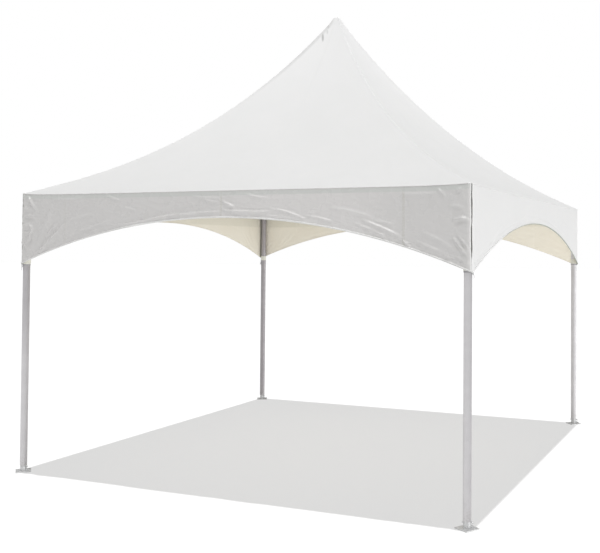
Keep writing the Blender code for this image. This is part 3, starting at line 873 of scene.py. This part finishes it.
# %% The folds of the front valance
# Paths are (x, z) in metres on the valance, width and height in millimetres.
FRONT_FOLDS = (
    # long folds along the hem, from the middle to the right
    (((-0.97, 2.112), (-0.644, 2.166), (-0.369, 2.200), (-0.20, 2.190)), 13, 8.5),
    (((-0.32, 2.212), (-0.16, 2.214), (-0.01, 2.222)), 13, 6.5),
    (((0.005, 2.234), (0.159, 2.221), (0.312, 2.216), (0.45, 2.219)), 12, 9.0),
    (((0.440, 2.234), (0.598, 2.208), (0.659, 2.188), (0.745, 2.156)), 11, 5.2),
    (((0.732, 2.182), (0.863, 2.163), (0.970, 2.135)), 11, 4.8),
    (((0.40, 2.188), (0.50, 2.178), (0.62, 2.162)), 10, 3.5),
    (((1.20, 2.148), (1.34, 2.098), (1.52, 2.020)), 15, 6.5),
    (((1.13, 2.128), (1.26, 2.082), (1.39, 2.030)), 12, 4.5),
    (((1.30, 2.140), (1.38, 2.128), (1.46, 2.112)), 11, 3.5),
    (((0.95, 2.236), (1.10, 2.214), (1.30, 2.160)), 20, 4.0),
    # puckers beside the middle weld
    (((0.010, 2.297), (0.065, 2.280), (0.120, 2.256)), 11, 5.5),
    (((0.015, 2.268), (0.06, 2.264), (0.12, 2.254)), 9, 3.5),
    (((-0.16, 2.318), (-0.08, 2.300), (-0.015, 2.292)), 11, 3.5),
    (((0.20, 2.372), (0.29, 2.338), (0.42, 2.322)), 11, 4.5),
    (((-0.30, 2.352), (-0.18, 2.334), (-0.02, 2.330)), 12, 2.5),
    # the fan that rises from the left tip
    (((-1.829, 1.892), (-1.698, 2.000), (-1.552, 2.134)), 15, 8.0),
    (((-1.784, 1.968), (-1.711, 2.054), (-1.632, 2.139)), 13, 7.0),
    (((-1.90, 1.860), (-1.80, 1.912), (-1.66, 1.996)), 12, 5.5),
    (((-1.87, 1.960), (-1.78, 2.080), (-1.70, 2.220)), 16, 4.5),
    (((-1.84, 2.060), (-1.76, 2.160), (-1.68, 2.300)), 18, 3.5),
    (((-1.54, 2.150), (-1.38, 2.190), (-1.20, 2.226)), 16, 4.0),
    (((-1.52, 2.048), (-1.30, 2.096), (-1.06, 2.160)), 15, 4.0),
    # slack along the eave
    (((-1.14, 2.376), (-1.091, 2.360), (-1.04, 2.343), (-0.98, 2.326)), 12, 5.5),
    (((-0.93, 2.266), (-0.87, 2.254), (-0.82, 2.240)), 11, 3.5),
    (((-1.72, 2.352), (-1.50, 2.338), (-1.34, 2.360)), 15, 3.5),
    (((1.775, 2.376), (1.805, 2.350), (1.845, 2.305)), 10, 7.0),
    (((1.50, 2.330), (1.66, 2.326), (1.82, 2.336)), 15, 3.0),
    # near the right tip
    (((1.525, 1.998), (1.55, 1.980), (1.585, 1.945)), 9, 5.0),
    (((1.62, 1.990), (1.74, 1.946), (1.87, 1.890)), 14, 4.5),
    (((1.66, 2.060), (1.80, 2.000), (1.95, 1.910)), 18, 4.5),
)
FRONT_CREASES = (
    # sharp creases in the crumpled end pieces
    (((-1.972, 2.398), (-1.935, 2.353), (-1.904, 2.305), (-1.866, 2.247)), 12, 11.0),
    (((-2.010, 2.262), (-1.950, 2.266), (-1.890, 2.258)), 22, 5.0),
    (((-2.010, 2.202), (-1.950, 2.206), (-1.885, 2.202)), 12, 7.5),
    (((-2.010, 2.118), (-1.960, 2.122), (-1.900, 2.116)), 18, 7.0),
    (((-2.010, 2.052), (-1.960, 2.056), (-1.900, 2.050)), 14, 5.5),
    (((-1.930, 2.130), (-1.905, 2.068), (-1.929, 2.005), (-1.972, 1.928)), 12, 10.0),
    (((-2.020, 1.990), (-1.990, 1.955), (-1.955, 1.895)), 12, 5.0),
    (((1.895, 2.140), (1.950, 2.150), (2.015, 2.150)), 12, 8.5),
    (((1.870, 2.240), (1.930, 2.238), (1.985, 2.232)), 12, 5.0),
    (((1.905, 2.022), (1.950, 1.960), (1.998, 1.895)), 12, 9.0),
    (((1.940, 2.030), (1.975, 1.992), (2.012, 1.940)), 9, 6.0),
    (((1.922, 2.325), (1.945, 2.348), (1.966, 2.378)), 10, 6.0),
    (((1.920, 1.880), (1.970, 1.858), (2.025, 1.830)), 10, 4.0),
)
print("front valance:", len(FRONT_FOLDS), "folds and", len(FRONT_CREASES), "creases")

# %% How far a valance stands out
MILLI = 0.001
END_EASE = (-0.004, 0.012)  # the crumple of the ends sets in softly round their start
HEM_EASE = (0.030, 0.060)  # the hem's own crumple fades at these heights over it
SEAM_RISE, SEAM_EDGE = 0.0009, (0.011, 0.0145)  # a weld stands up, and runs out here
BESIDE_AT, BESIDE_WIDE = 0.025, 0.030  # small creases beside each weld
HEM_RISE, HEM_STEP = 0.0010, 0.004
STITCHES = (HEM - 0.0045, HEM + 0.0050)  # two rows, as grooves
STITCH_DEEP, STITCH_HALF = 0.0009, 0.0016
FREE_OF_HEM, FREE_OF_EAVE = (0.0, 0.012), (0.008, 0.045)  # folds die out towards both


def bulge(x, z, above_hem, under_eave, folds, creases, seed, slack):
    """How far a valance stands out from its plane at each point, in metres."""
    out = np.zeros_like(z)
    for path, width, height in folds:
        out += ridge(x, z, path, width * MILLI, FOLD_DEPTH * height * MILLI, FOLD_SOFT)
    for path, width, height in creases:
        steep = abs(path[-1][1] - path[0][1]) > abs(path[-1][0] - path[0][0])
        out += ridge(x, z, path, width * MILLI, CREASE_DEPTH * height * MILLI, CREASE_SOFT,
                     upright=steep)
    # Each noise has its height in front, and its size along, its size up and a seed inside.
    out += slack * 0.0030 * wave(x, z, 0.55, 0.20, seed)
    out += slack * 0.0024 * (crumple(x, z, 0.16, 0.055, seed + 3.1) - 0.5)
    out += slack * 0.0014 * (crumple(x + 0.6 * z, z, 0.07, 0.030, seed + 1.7) - 0.5)
    soft_in, full_in = END_EASE
    in_end = np.maximum(step(x, RIGHT_SECTION + soft_in, RIGHT_SECTION + full_in),
                        step(-x, -LEFT_SECTION + soft_in, -LEFT_SECTION + full_in))
    out += slack * in_end * 0.0045 * (crumple(x, z, 0.11, 0.045, seed + 7.7) - 0.55)
    out += slack * in_end * 0.0020 * wave(x, z, 0.030, 0.022, seed + 9.4)
    in_hem = 1 - step(above_hem, *HEM_EASE)
    out += slack * in_hem * (0.0014 + 0.0030 * step(x, 0.9, 1.3)) * (
        crumple(x, z, 0.060, 0.026, seed + 2.2) - 0.5)
    for line in WELD_LINES:
        from_line = np.abs(x - line)
        out += SEAM_RISE * (1 - step(from_line, *SEAM_EDGE))
        beside = np.exp(-((from_line - BESIDE_AT) / BESIDE_WIDE) ** 2)
        out += slack * 0.0022 * beside * (crumple(x, z, 0.05, 0.022, seed + 5.3) - 0.5)
    out += HEM_RISE * (1 - step(above_hem, HEM, HEM + HEM_STEP))
    for groove in STITCHES:
        out -= STITCH_DEEP * np.exp(-((above_hem - groove) / STITCH_HALF) ** 2)
    out = out * step(above_hem, *FREE_OF_HEM) * step(under_eave, *FREE_OF_EAVE)
    return out + np.sqrt(np.clip(BEAD_R ** 2 - (above_hem - BEAD_R) ** 2, 0.0, None))


print("a hem stands out by its rope's radius,", BEAD_R, "m")

# %% Make one valance
EDGE_WANDER = 0.0026  # how far a valance's end strays from a plumb line
END_REACH, SLIT_EASE = 0.05, 0.015
SHUT_SHARE = 0.45  # of the slit, taken up by each of two valances where it closes


def wander(z, seed):
    """The uneven line of a valance's end, as a shift along the valance."""
    return EDGE_WANDER * (np.sin(23 * z + seed) + 0.5 * np.sin(61 * z + 2 * seed)) / 1.5


def make_valance(quarter, outside, folds, creases, slack):
    x, z, above_hem, under_eave = valance_grid(quarter)
    out = bulge(x, z, above_hem, under_eave, folds, creases, 10.0 * quarter, slack)
    rows, columns = z.shape
    at_left = 1 - step(x, LEFT_END, LEFT_END + END_REACH)
    at_right = step(x, RIGHT_END - END_REACH, RIGHT_END)
    shut = 1 - step(z, SLIT_LOW_Z - SLIT_EASE, SLIT_LOW_Z + SLIT_EASE)
    along = x + at_left * ((1 - shut) * wander(z, quarter) - shut * SHUT_SHARE * SLIT)
    along = along + at_right * ((1 - shut) * wander(z, quarter + 2.0) + shut * SHUT_SHARE * SLIT)
    flat_x, flat_y = round_legs(along, out)
    points = np.column_stack([flat_x.ravel(), flat_y.ravel(), z.ravel()])
    turn = np.array(Matrix.Rotation(quarter * math.pi / 2, 3, "Z"))
    index = np.arange(rows * columns).reshape(rows, columns)
    faces = np.stack([index[:-1, :-1], index[:-1, 1:], index[1:, 1:], index[1:, :-1]], axis=-1)
    sheet = cloth_object(f"valance_sheet_{SIDES[quarter]}", points @ turn.T,
                         faces.reshape(-1, 4).tolist(), np.column_stack([along.ravel(), z.ravel()]))
    measures = {"above_hem": above_hem, "under_eave": under_eave,
                "from_end": np.minimum(x - LEFT_END, RIGHT_END - x),
                "from_weld": np.min([np.abs(x - line) for line in WELD_LINES], axis=0)}
    for name, values in measures.items():
        layer = sheet.data.attributes.new(name, "FLOAT", "POINT")
        layer.data.foreach_set("value", values.astype(np.float32).ravel())
    thicken(sheet, outside, VALANCE_INSIDE)
    return sheet


def mirrored(folds):
    return tuple((tuple((-x, z) for x, z in reversed(path)), w, h) for path, w, h in folds)


def lower(folds, share):
    return tuple((path, w, h * share) for path, w, h in folds)


print("a valance is uneven for", END_REACH, "m at its ends")

# %% Hang the four valances
valances = [
    make_valance(0, CURTAIN_OUTSIDE, FRONT_FOLDS, FRONT_CREASES, slack=1.0),
    make_valance(1, UNSHADED_OUTSIDE, lower(mirrored(FRONT_FOLDS), 0.12),
                 lower(FRONT_CREASES, 0.10), slack=0.12),
    make_valance(2, CURTAIN_OUTSIDE, lower(mirrored(FRONT_FOLDS), 0.22),
                 lower(FRONT_CREASES, 0.15), slack=0.6),
    make_valance(3, LEE_OUTSIDE, lower(FRONT_FOLDS, 0.22), lower(FRONT_CREASES, 0.06),
                 slack=0.25),
]
for quarter, sheet in enumerate(valances):
    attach(sheet, "root")
    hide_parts(f"valance_{SIDES[quarter]}")
print("valances:", [len(sheet.data.polygons) for sheet in valances])

# %% [markdown]
# ## Two lights for two valances
# The right valance gets a weaker light on top of the low one. A small lamp outside the
# right arch brightens the lining of the back valance, and reaches nothing else.

# %% Light the right and the back valance
VALANCE_LIGHT = 0.35
ARCH_LIGHT, ARCH_LIGHT_SIZE = 48.0, 1.2  # watts, metres
ARCH_LIGHT_AT, ARCH_LIGHT_TO = Vector((4.0, 0.3, 0.6)), Vector((1.4, 2.0, 2.05))
valance_light = add_sun("valance_light", VALANCE_LIGHT, SIDE_SPREAD, FROM_THE_RIGHT)
serve(valance_light, light_group("right valance alone", [valances[1]], "INCLUDE"))
bpy.ops.object.light_add(type="AREA", location=ARCH_LIGHT_AT)
arch_light = bpy.context.object
arch_light.name = "arch_light"
arch_light.data.energy = ARCH_LIGHT
arch_light.data.size = ARCH_LIGHT_SIZE
arch_light.rotation_euler = (ARCH_LIGHT_TO - ARCH_LIGHT_AT).to_track_quat("-Z", "Y").to_euler()
arch_light.visible_camera = arch_light.visible_glossy = False
back_alone = light_group("back valance alone", [valances[2]], "INCLUDE")
serve(arch_light, back_alone, back_alone)
print("lights added:", valance_light.name, arch_light.name)

# %% [markdown]
# ## Metal
# The legs, beams and mast are mill-finish aluminium, drawn, so fine lines run along them.
# Base plates, fittings and mast ends are galvanised steel with its grey spangle. The
# nodes already have their true shape, so they only get a finish. A picture of metal would
# repeat and slide, so the lines are noise that is stretched along the tube, and the
# spangle is made of cells.

# %% Finishes of metal and webbing
DRAWN_ACROSS, DRAWN_ALONG = 420.0, 1.5  # scale of the drawn lines
DRAWN_BUMP, GRAIN_BUMP, RIB_BUMP = (0.25, 0.0003), (0.25, 0.0004), (0.5, 0.0006)
SHADED_HEIGHTS = (0.9, 1.5)  # painted shadow of the valance darkens a leg's top between these heights
BRIGHT, GREY = (0.745, 0.735, 0.747), (0.650, 0.637, 0.652)
# painted shade: darker colours for the back left leg, inside the canopy's shade
SHADED_BRIGHT, SHADED_GREY = (0.460, 0.442, 0.460), (0.345, 0.328, 0.345)
SPANGLE_DARK, SPANGLE_LIGHT = (0.58, 0.585, 0.59), (0.72, 0.725, 0.73)
LEG_DUST, PLATE_DUST = (0.40, 0.385, 0.36), (0.44, 0.42, 0.40)
RIB_DARK, RIB_LIGHT, RIB_WORN = (0.36, 0.35, 0.37), (0.50, 0.49, 0.51), (0.58, 0.57, 0.57)


def aluminium(name, along, light, dark, top_shade=0.0):
    """Fine lines along X, Y or Z, duller patches, and splashes near the ground."""
    made, tree, shader = start_material(name, roughness=0.45, metallic=0.35)
    scale = [DRAWN_ALONG if axis == along else DRAWN_ACROSS for axis in "XYZ"]
    lines = put(tree, "Mapping", Vector=place_of(tree), Scale=scale)
    streaks = put(tree, "TexNoise", Vector=lines.outputs[0], Scale=1.0, Detail=3.0).outputs["Fac"]
    patches = use_group(tree, CLOUD, Scale=14.0, Detail=4.0)
    dust = use_group(tree, SPLASH, Height=0.30, Amount=0.6)
    # Painted shadow: top_shade darkens the leg's top, under the valance.
    shaded = ramp(tree, axes(tree)["Z"], *SHADED_HEIGHTS, 0.0, top_shade)
    colour = overlay(tree, mix_colours(tree, streaks, dark, light),
                     (times(tree, patches, 0.5), dark), (shaded, SHADED_GREY), (dust, LEG_DUST))
    rough = maths(tree, "MAXIMUM", maths(tree, "MULTIPLY_ADD", patches, 0.14, 0.38),
                  times(tree, dust, 0.8))
    feed(tree, shader, Base_Color=colour, Roughness=rough)
    bump(tree, shader, streaks, *DRAWN_BUMP)
    return made


def galvanised():
    made, tree, shader = start_material("galvanised steel", roughness=0.45, metallic=0.45)
    cells = put(tree, "TexVoronoi", Vector=place_of(tree), Scale=130.0)
    shade = put(tree, "SeparateColor", Color=cells.outputs["Color"]).outputs
    spangle = mix_colours(tree, shade[0], SPANGLE_DARK, SPANGLE_LIGHT)
    dust = use_group(tree, SPLASH, Height=0.12, Amount=0.20)
    feed(tree, shader, Base_Color=mix_colours(tree, dust, spangle, PLATE_DUST),
         Roughness=maths(tree, "MULTIPLY_ADD", shade[1], 0.18, 0.36))
    bump(tree, shader, noise_over(tree, 420.0, 4.0), *GRAIN_BUMP)
    return made


def webbing():
    """Grey polyester webbing: ribs across the strap, paler where it is worn."""
    made, tree, shader = start_material("strap webbing", roughness=0.85)
    ribs = put(tree, "TexWave", {"wave_type": "BANDS", "bands_direction": "Z"},
               Vector=place_of(tree), Scale=95.0, Distortion=1.5, Detail=2.0).outputs["Fac"]
    worn = times(tree, use_group(tree, CLOUD, Scale=60.0, Detail=5.0), 0.3)
    colour = mix_colours(tree, ribs, RIB_DARK, RIB_LIGHT)
    feed(tree, shader, Base_Color=mix_colours(tree, worn, colour, RIB_WORN))
    bump(tree, shader, ribs, *RIB_BUMP)
    return made


print("metal and webbing finishes ready")

# %% Dress the metal
def dress(finish, *names):
    for name in names:
        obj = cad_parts[name]
        if not obj.data.materials:
            obj.data.materials.append(finish)
        for spot in obj.material_slots:
            spot.material = finish


STEEL, WEBBING = galvanised(), webbing()
dress(aluminium("leg aluminium", "Z", BRIGHT, GREY), "mast_tube",
      *[f"leg_{corner}" for corner in CORNERS])
# The back left leg is painted darker as shade.
dress(aluminium("worn leg aluminium", "Z", SHADED_BRIGHT, SHADED_GREY), "leg_back_left")
# The front left leg's top is painted darker, as the valance's shadow.
dress(aluminium("handled leg aluminium", "Z", BRIGHT, GREY, top_shade=0.40), "leg_front_left")
dress(aluminium("beam aluminium x", "X", BRIGHT, GREY), "eave_beam_front", "eave_beam_back")
dress(aluminium("beam aluminium y", "Y", BRIGHT, GREY), "eave_beam_left", "eave_beam_right")
dress(STEEL, "mast_foot", "mast_head",
      *[f"{kind}_{corner}" for kind in ("base_plate", "corner_fitting") for corner in CORNERS])
print("metal dressed")

# %% [markdown]
# ## Wire ropes
# Two wire ropes cross under the roof and carry the mast. Each half runs from the mast's
# foot to a corner fitting and ends in a pressed ferrule. Seen close, a rope is a bundle of
# strands laid in a helix. A curve does that well: its section is a ring with six lobes,
# and a steady tilt from point to point turns the lobes into strands.

# %% A curve and the rope's section
ROPE_R = 0.0034  # to the middle between a lobe's top and its foot
LOBE = 0.0006
STRANDS = 6


def polyline(name, dimensions, points, tilts=None):
    """A curve through some points, as data and spline."""
    data = bpy.data.curves.new(name, "CURVE")
    data.dimensions = dimensions
    spline = data.splines.new("POLY")
    spline.points.add(len(points) - 1)
    for k, point in enumerate(spline.points):
        point.co = (*points[k], 1.0)
        point.tilt = tilts[k] if tilts else 0.0
    return data, spline


def lobed_section():
    angles = [2 * math.pi * k / (4 * STRANDS) for k in range(4 * STRANDS)]
    radii = [ROPE_R + LOBE * math.cos(STRANDS * angle) for angle in angles]
    data, spline = polyline("rope section", "2D", [
        (radius * math.cos(angle), radius * math.sin(angle), 0.0)
        for radius, angle in zip(radii, angles)])
    spline.use_cyclic_u = True
    return show("rope section", data)


print("rope section of", STRANDS, "strands")

# %% A ferrule
FERRULE_R, FERRULE = 0.008, 0.040
FERRULE_SIDES = 24
DRAWN_IN, DRAWN_OUT = 0.4 * FERRULE_R, 0.005  # its rope end is inset and pulled out
FERRULE_EASE = 0.0007
FACES_THERE = 0.9  # a face looks along an axis when its normal has this much of it
EASE_SEGMENTS = 2


def edit_where(obj, kind, test):
    """Opens a mesh for editing, with only the faces or edges selected that pass the test."""
    bpy.ops.object.mode_set(mode="EDIT")
    bpy.ops.mesh.select_mode(type=kind)
    bpy.ops.mesh.select_all(action="DESELECT")
    bpy.ops.object.mode_set(mode="OBJECT")
    for part in obj.data.polygons if kind == "FACE" else obj.data.edges:
        part.select = test(part)
    bpy.ops.object.mode_set(mode="EDIT")


def edit_all():
    bpy.ops.object.mode_set(mode="EDIT")
    bpy.ops.mesh.select_all(action="SELECT")


def add_ferrule(at, away):
    """A pressed sleeve: a cylinder with its rope end drawn in and its edges eased."""
    bpy.ops.object.select_all(action="DESELECT")
    bpy.ops.mesh.primitive_cylinder_add(vertices=FERRULE_SIDES, radius=FERRULE_R, depth=FERRULE,
                                        location=at + away * FERRULE / 2,
                                        rotation=away.to_track_quat("Z", "Y").to_euler())
    sleeve = bpy.context.object
    edit_where(sleeve, "FACE", lambda face: face.normal.z > FACES_THERE)
    bpy.ops.mesh.inset(thickness=DRAWN_IN)
    bpy.ops.transform.translate(value=away * DRAWN_OUT)
    bpy.ops.mesh.select_all(action="DESELECT")
    bpy.ops.object.mode_set(mode="OBJECT")
    apply_modifier(sleeve, "BEVEL", width=FERRULE_EASE, segments=EASE_SEGMENTS)
    bpy.ops.object.transform_apply(location=True, rotation=True, scale=True)
    return sleeve


print("ferrule", FERRULE, "m long")

# %% Model the four rope halves
LAY = 0.060  # one turn of a strand
ROPE_PITCH = 0.006  # between two points of the curve
SAME_POINT = 0.00005
SMOOTH_UNDER = math.radians(40)  # edges flatter than this are shaded smooth


def rope_ends(corner):
    """Both ends of a rope half, just inside the box of its solid."""
    low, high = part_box(f"cross_cable_{corner}")
    side_x, side_y = (1 if "right" in corner else -1), (1 if "back" in corner else -1)
    inner = min(abs(low.x), abs(high.x)) + FERRULE_R / math.sqrt(2)
    outer = max(abs(low.x), abs(high.x)) - FERRULE_R / math.sqrt(2)
    return (Vector((side_x * inner, side_y * inner, low.z + FERRULE_R)),
            Vector((side_x * outer, side_y * outer, high.z - FERRULE_R)))


def make_rope(corner, section):
    start, end = rope_ends(corner)
    way = (end - start).normalized()
    last = round((end - start).length / ROPE_PITCH)
    data, _ = polyline(f"wire_rope_{corner}", "3D",
                       [start + (end - start) * k / last for k in range(last + 1)],
                       [2 * math.pi * k * ROPE_PITCH / LAY for k in range(last + 1)])
    data.bevel_mode = "OBJECT"
    data.bevel_object = section
    data.use_fill_caps = True
    only(show(f"wire_rope_{corner}", data))
    bpy.ops.object.convert(target="MESH")
    rope = bpy.context.object
    edit_all()
    bpy.ops.mesh.remove_doubles(threshold=SAME_POINT)
    bpy.ops.mesh.normals_make_consistent(inside=False)
    bpy.ops.object.mode_set(mode="OBJECT")
    sleeves = [add_ferrule(start, way), add_ferrule(end, -way)]
    only(rope)
    for sleeve in sleeves:
        sleeve.select_set(True)
    bpy.ops.object.join()
    bpy.ops.object.shade_smooth_by_angle(angle=SMOOTH_UNDER)
    rope.data.materials.clear()
    rope.data.materials.append(STEEL)
    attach(rope, "root")
    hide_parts(f"cross_cable_{corner}")
    return rope


section = lobed_section()
ropes = [make_rope(corner, section) for corner in CORNERS]
bpy.data.objects.remove(section)
print("ropes:", [len(rope.data.polygons) for rope in ropes])

# %% [markdown]
# ## Straps
# Each corner of the canopy ends in a short vinyl cuff round the leg. A narrow strap of
# grey webbing under it is drawn tight through a small buckle, and the strap's end hangs
# loose. Cuff and band could be bent strips, but a short open cylinder with a wall stays
# round. The buckle is a cube, inset twice, and the tail a strip that is extruded step by
# step. All four are modelled once, at the origin, and copied to the legs, each with the
# strap turned as it was tied.

# %% Sizes of a cuff, a band, a buckle and a tail
CUFF_LOW_Z, CUFF_TOP_Z = 1.7865, 1.838
CUFF_R = TUBE_R + 0.0024
CUFF_WALL, CUFF_SIDES = 0.0012, 72
CUFF_GATHERS, GATHER_SHARE = 9, 0.028
CUFF_WHITE, CUFF_DULL = (0.800, 0.805, 0.740), (0.760, 0.755, 0.680)
BAND_R = TUBE_R + 0.0006
BAND_HIGH, BAND_SIDES = 0.0115, 64
BAND_MIDDLE_Z = CUFF_LOW_Z - 0.0065
STRAP_THICK = 0.0016
STRAP_TURNS = (-35.0, 8.0, 20.0, -10.0)  # degrees, as each strap was tied
NO_TURNS = (0.0, 0.0, 0.0, 0.0)
WALL_EASE = 0.0003
RING_CUTS = 3
BUCKLE_AT = (BAND_R + 0.0052, 0.0, BAND_MIDDLE_Z - 0.004)
BUCKLE_SIZE = (0.0060, 0.0170, 0.0300)
BUCKLE_STEPS = ((0.0028, (-0.0022, 0.0, 0.0)), (0.0016, (0.0052, 0.0, -0.0015)))  # inset, move
BUCKLE_EASE, BUCKLE_TILT = 0.0006, -0.30
TAIL_AT = (BAND_R + 0.0045, 0.0, BAND_MIDDLE_Z)
TAIL_PARTS, TAIL_FIRST = 6, 0.008
TAIL_CURL, TAIL_TURN, TAIL_DRIFT, TAIL_FALL = 0.0026, 0.45, 0.0012, 0.0075
TAIL_LOWEST = 0.0002  # its edge is made of what lies this close to its lowest point
print(f"straps at {BAND_MIDDLE_Z:.4f} m, under cuffs from {CUFF_LOW_Z} to {CUFF_TOP_Z} m")

# %% Model the cuff and the band
WALL_CORNER = math.radians(50)  # only a wall's sharp edges are eased


def wall_and_edges(obj, thickness, offset):
    """Gives an open sheet a wall, outwards with offset 1 and both ways with 0, and eases its edges."""
    only(obj)
    apply_modifier(obj, "SOLIDIFY", thickness=thickness, offset=offset)
    apply_modifier(obj, "BEVEL", width=WALL_EASE, segments=EASE_SEGMENTS,
                   limit_method="ANGLE", angle_limit=WALL_CORNER)
    smooth_all(obj)


def open_ring(name, radius, low, high, sides):
    bpy.ops.object.select_all(action="DESELECT")
    bpy.ops.mesh.primitive_cylinder_add(vertices=sides, radius=radius, depth=high - low,
                                        end_fill_type="NOTHING",
                                        location=(0.0, 0.0, (low + high) / 2))
    ring_made = bpy.context.object
    ring_made.name = name
    bpy.ops.object.transform_apply(location=True)
    edit_all()
    bpy.ops.mesh.subdivide(number_cuts=RING_CUTS)
    bpy.ops.object.mode_set(mode="OBJECT")
    return ring_made


def make_cuff():
    """A sleeve of vinyl, gathered a little where it is drawn round the leg."""
    cuff = open_ring("cuff", CUFF_R, CUFF_LOW_Z, CUFF_TOP_Z, CUFF_SIDES)
    for corner in cuff.data.vertices:
        angle = math.atan2(corner.co.y, corner.co.x)
        low = 1 - (corner.co.z - CUFF_LOW_Z) / (CUFF_TOP_Z - CUFF_LOW_Z)
        gather = math.cos(CUFF_GATHERS * angle + 0.8 * math.sin(2 * angle))
        pull = 1 + low * GATHER_SHARE * gather
        corner.co.x *= pull
        corner.co.y *= pull
    wall_and_edges(cuff, CUFF_WALL, offset=1.0)
    return cuff


def make_band():
    band = open_ring("band", BAND_R, BAND_MIDDLE_Z - BAND_HIGH / 2,
                     BAND_MIDDLE_Z + BAND_HIGH / 2, BAND_SIDES)
    wall_and_edges(band, STRAP_THICK, offset=1.0)
    return band


print("cuff and band ready")

# %% Model the buckle and the tail
def make_buckle():
    """A cam buckle: a small steel frame with a cam standing out of it."""
    bpy.ops.object.select_all(action="DESELECT")
    bpy.ops.mesh.primitive_cube_add(size=1.0, location=BUCKLE_AT)
    buckle = bpy.context.object
    buckle.name = "buckle"
    bpy.ops.transform.resize(value=BUCKLE_SIZE)
    bpy.ops.object.transform_apply(location=True, scale=True)
    edit_where(buckle, "FACE", lambda face: face.normal.x > FACES_THERE)
    for inset, move in BUCKLE_STEPS:
        bpy.ops.mesh.inset(thickness=inset)
        bpy.ops.transform.translate(value=move)
    bpy.ops.object.mode_set(mode="OBJECT")
    apply_modifier(buckle, "BEVEL", width=BUCKLE_EASE, segments=EASE_SEGMENTS)
    buckle.data.transform(Matrix.Translation((0, 0, BAND_MIDDLE_Z))
                          @ Matrix.Rotation(BUCKLE_TILT, 4, "X")
                          @ Matrix.Translation((0, 0, -BAND_MIDDLE_Z)))
    only(buckle)
    bpy.ops.object.shade_smooth_by_angle(angle=SMOOTH_UNDER)
    return buckle


def make_tail():
    """The strap's loose end: a strip that leaves the buckle and hangs with a slight curl."""
    bpy.ops.object.select_all(action="DESELECT")
    bpy.ops.mesh.primitive_plane_add(size=1.0, location=TAIL_AT, rotation=(0.0, math.pi / 2, 0.0))
    tail = bpy.context.object
    tail.name = "tail"
    bpy.ops.transform.resize(value=(1.0, BAND_HIGH, TAIL_FIRST))
    bpy.ops.object.transform_apply(location=True, rotation=True, scale=True)
    for k in range(TAIL_PARTS):
        edge_z = min(corner.co.z for corner in tail.data.vertices) + TAIL_LOWEST
        low = [corner.index for corner in tail.data.vertices if corner.co.z < edge_z]
        edit_where(tail, "EDGE", lambda edge: all(v in low for v in edge.vertices))
        bpy.ops.mesh.extrude_region_move(TRANSFORM_OT_translate={
            "value": (TAIL_CURL * math.cos(TAIL_TURN * k), TAIL_DRIFT, -TAIL_FALL)})
        bpy.ops.object.mode_set(mode="OBJECT")
    wall_and_edges(tail, STRAP_THICK, offset=0.0)
    return tail


print("buckle and tail ready")

# %% Copy them to the legs
def copy_to_corners(model, name, finish, turns):
    """Copies a piece modelled round the origin to the four legs, each with its own mesh."""
    made = []
    for quarter, corner in enumerate(CORNERS):
        box_low, box_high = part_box(f"leg_{corner}")
        middle = ((box_low.x + box_high.x) / 2, (box_low.y + box_high.y) / 2, 0.0)
        angle = (quarter - 1) * math.pi / 2 + math.radians(turns[quarter])
        copy = show(f"{name}_{corner}", model.data.copy())
        copy.data.transform(Matrix.Translation(middle) @ Matrix.Rotation(angle, 4, "Z"))
        copy.data.materials.clear()
        copy.data.materials.append(finish)
        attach(copy, "root")
        made.append(copy)
    bpy.data.objects.remove(model)
    return made


CUFF_VINYL = plain_vinyl("cuff vinyl", CUFF_WHITE, CUFF_DULL, roughness=0.40, crumple=0.30)
cuffs = copy_to_corners(make_cuff(), "corner_cuff", CUFF_VINYL, NO_TURNS)
bands = copy_to_corners(make_band(), "leg_strap", WEBBING, STRAP_TURNS)
buckles = copy_to_corners(make_buckle(), "strap_buckle", STEEL, STRAP_TURNS)
tails = copy_to_corners(make_tail(), "strap_tail", WEBBING, STRAP_TURNS)
for corner, cuff, band, buckle, tail in zip(CORNERS, cuffs, bands, buckles, tails):
    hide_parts(f"corner_strap_{corner}")
print("straps:", [piece.name for piece in bands])

# %% [markdown]
# ## The sheets' flat sizes
# The roof is cut as four gores, laid head to tail: as long as the way from the tip down to the eave,
# and as wide together as two and a half eaves. Here the heights along that way are worked out, but no
# size of the roof is printed. Each valance is a strip as long as its eave and as deep as its tips, and
# its area is summed over its outer faces. A cuff is a strip sewn to the tips of the valance that
# starts at its leg; its size is not worked out here.

def outer_area(sheet):
    return sum(face.area for face in sheet.data.polygons) / 2


WAY_STEPS = 400
way_down = np.linspace(0.0, ROOF_HALF, WAY_STEPS)
heights = roof_height(np.zeros_like(way_down), -way_down)
for quarter, (sheet, cuff) in enumerate(zip(valances, cuffs)):
    _, z, _, _ = valance_grid(quarter)
    cut = (RIGHT_END - LEFT_END, float(z.max() - z.min()))
    outer_area(sheet)
    print(f"valance {SIDES[quarter]}: {cut[0]:.2f} x {cut[1]:.2f} m, {outer_area(sheet):.2f} m2")
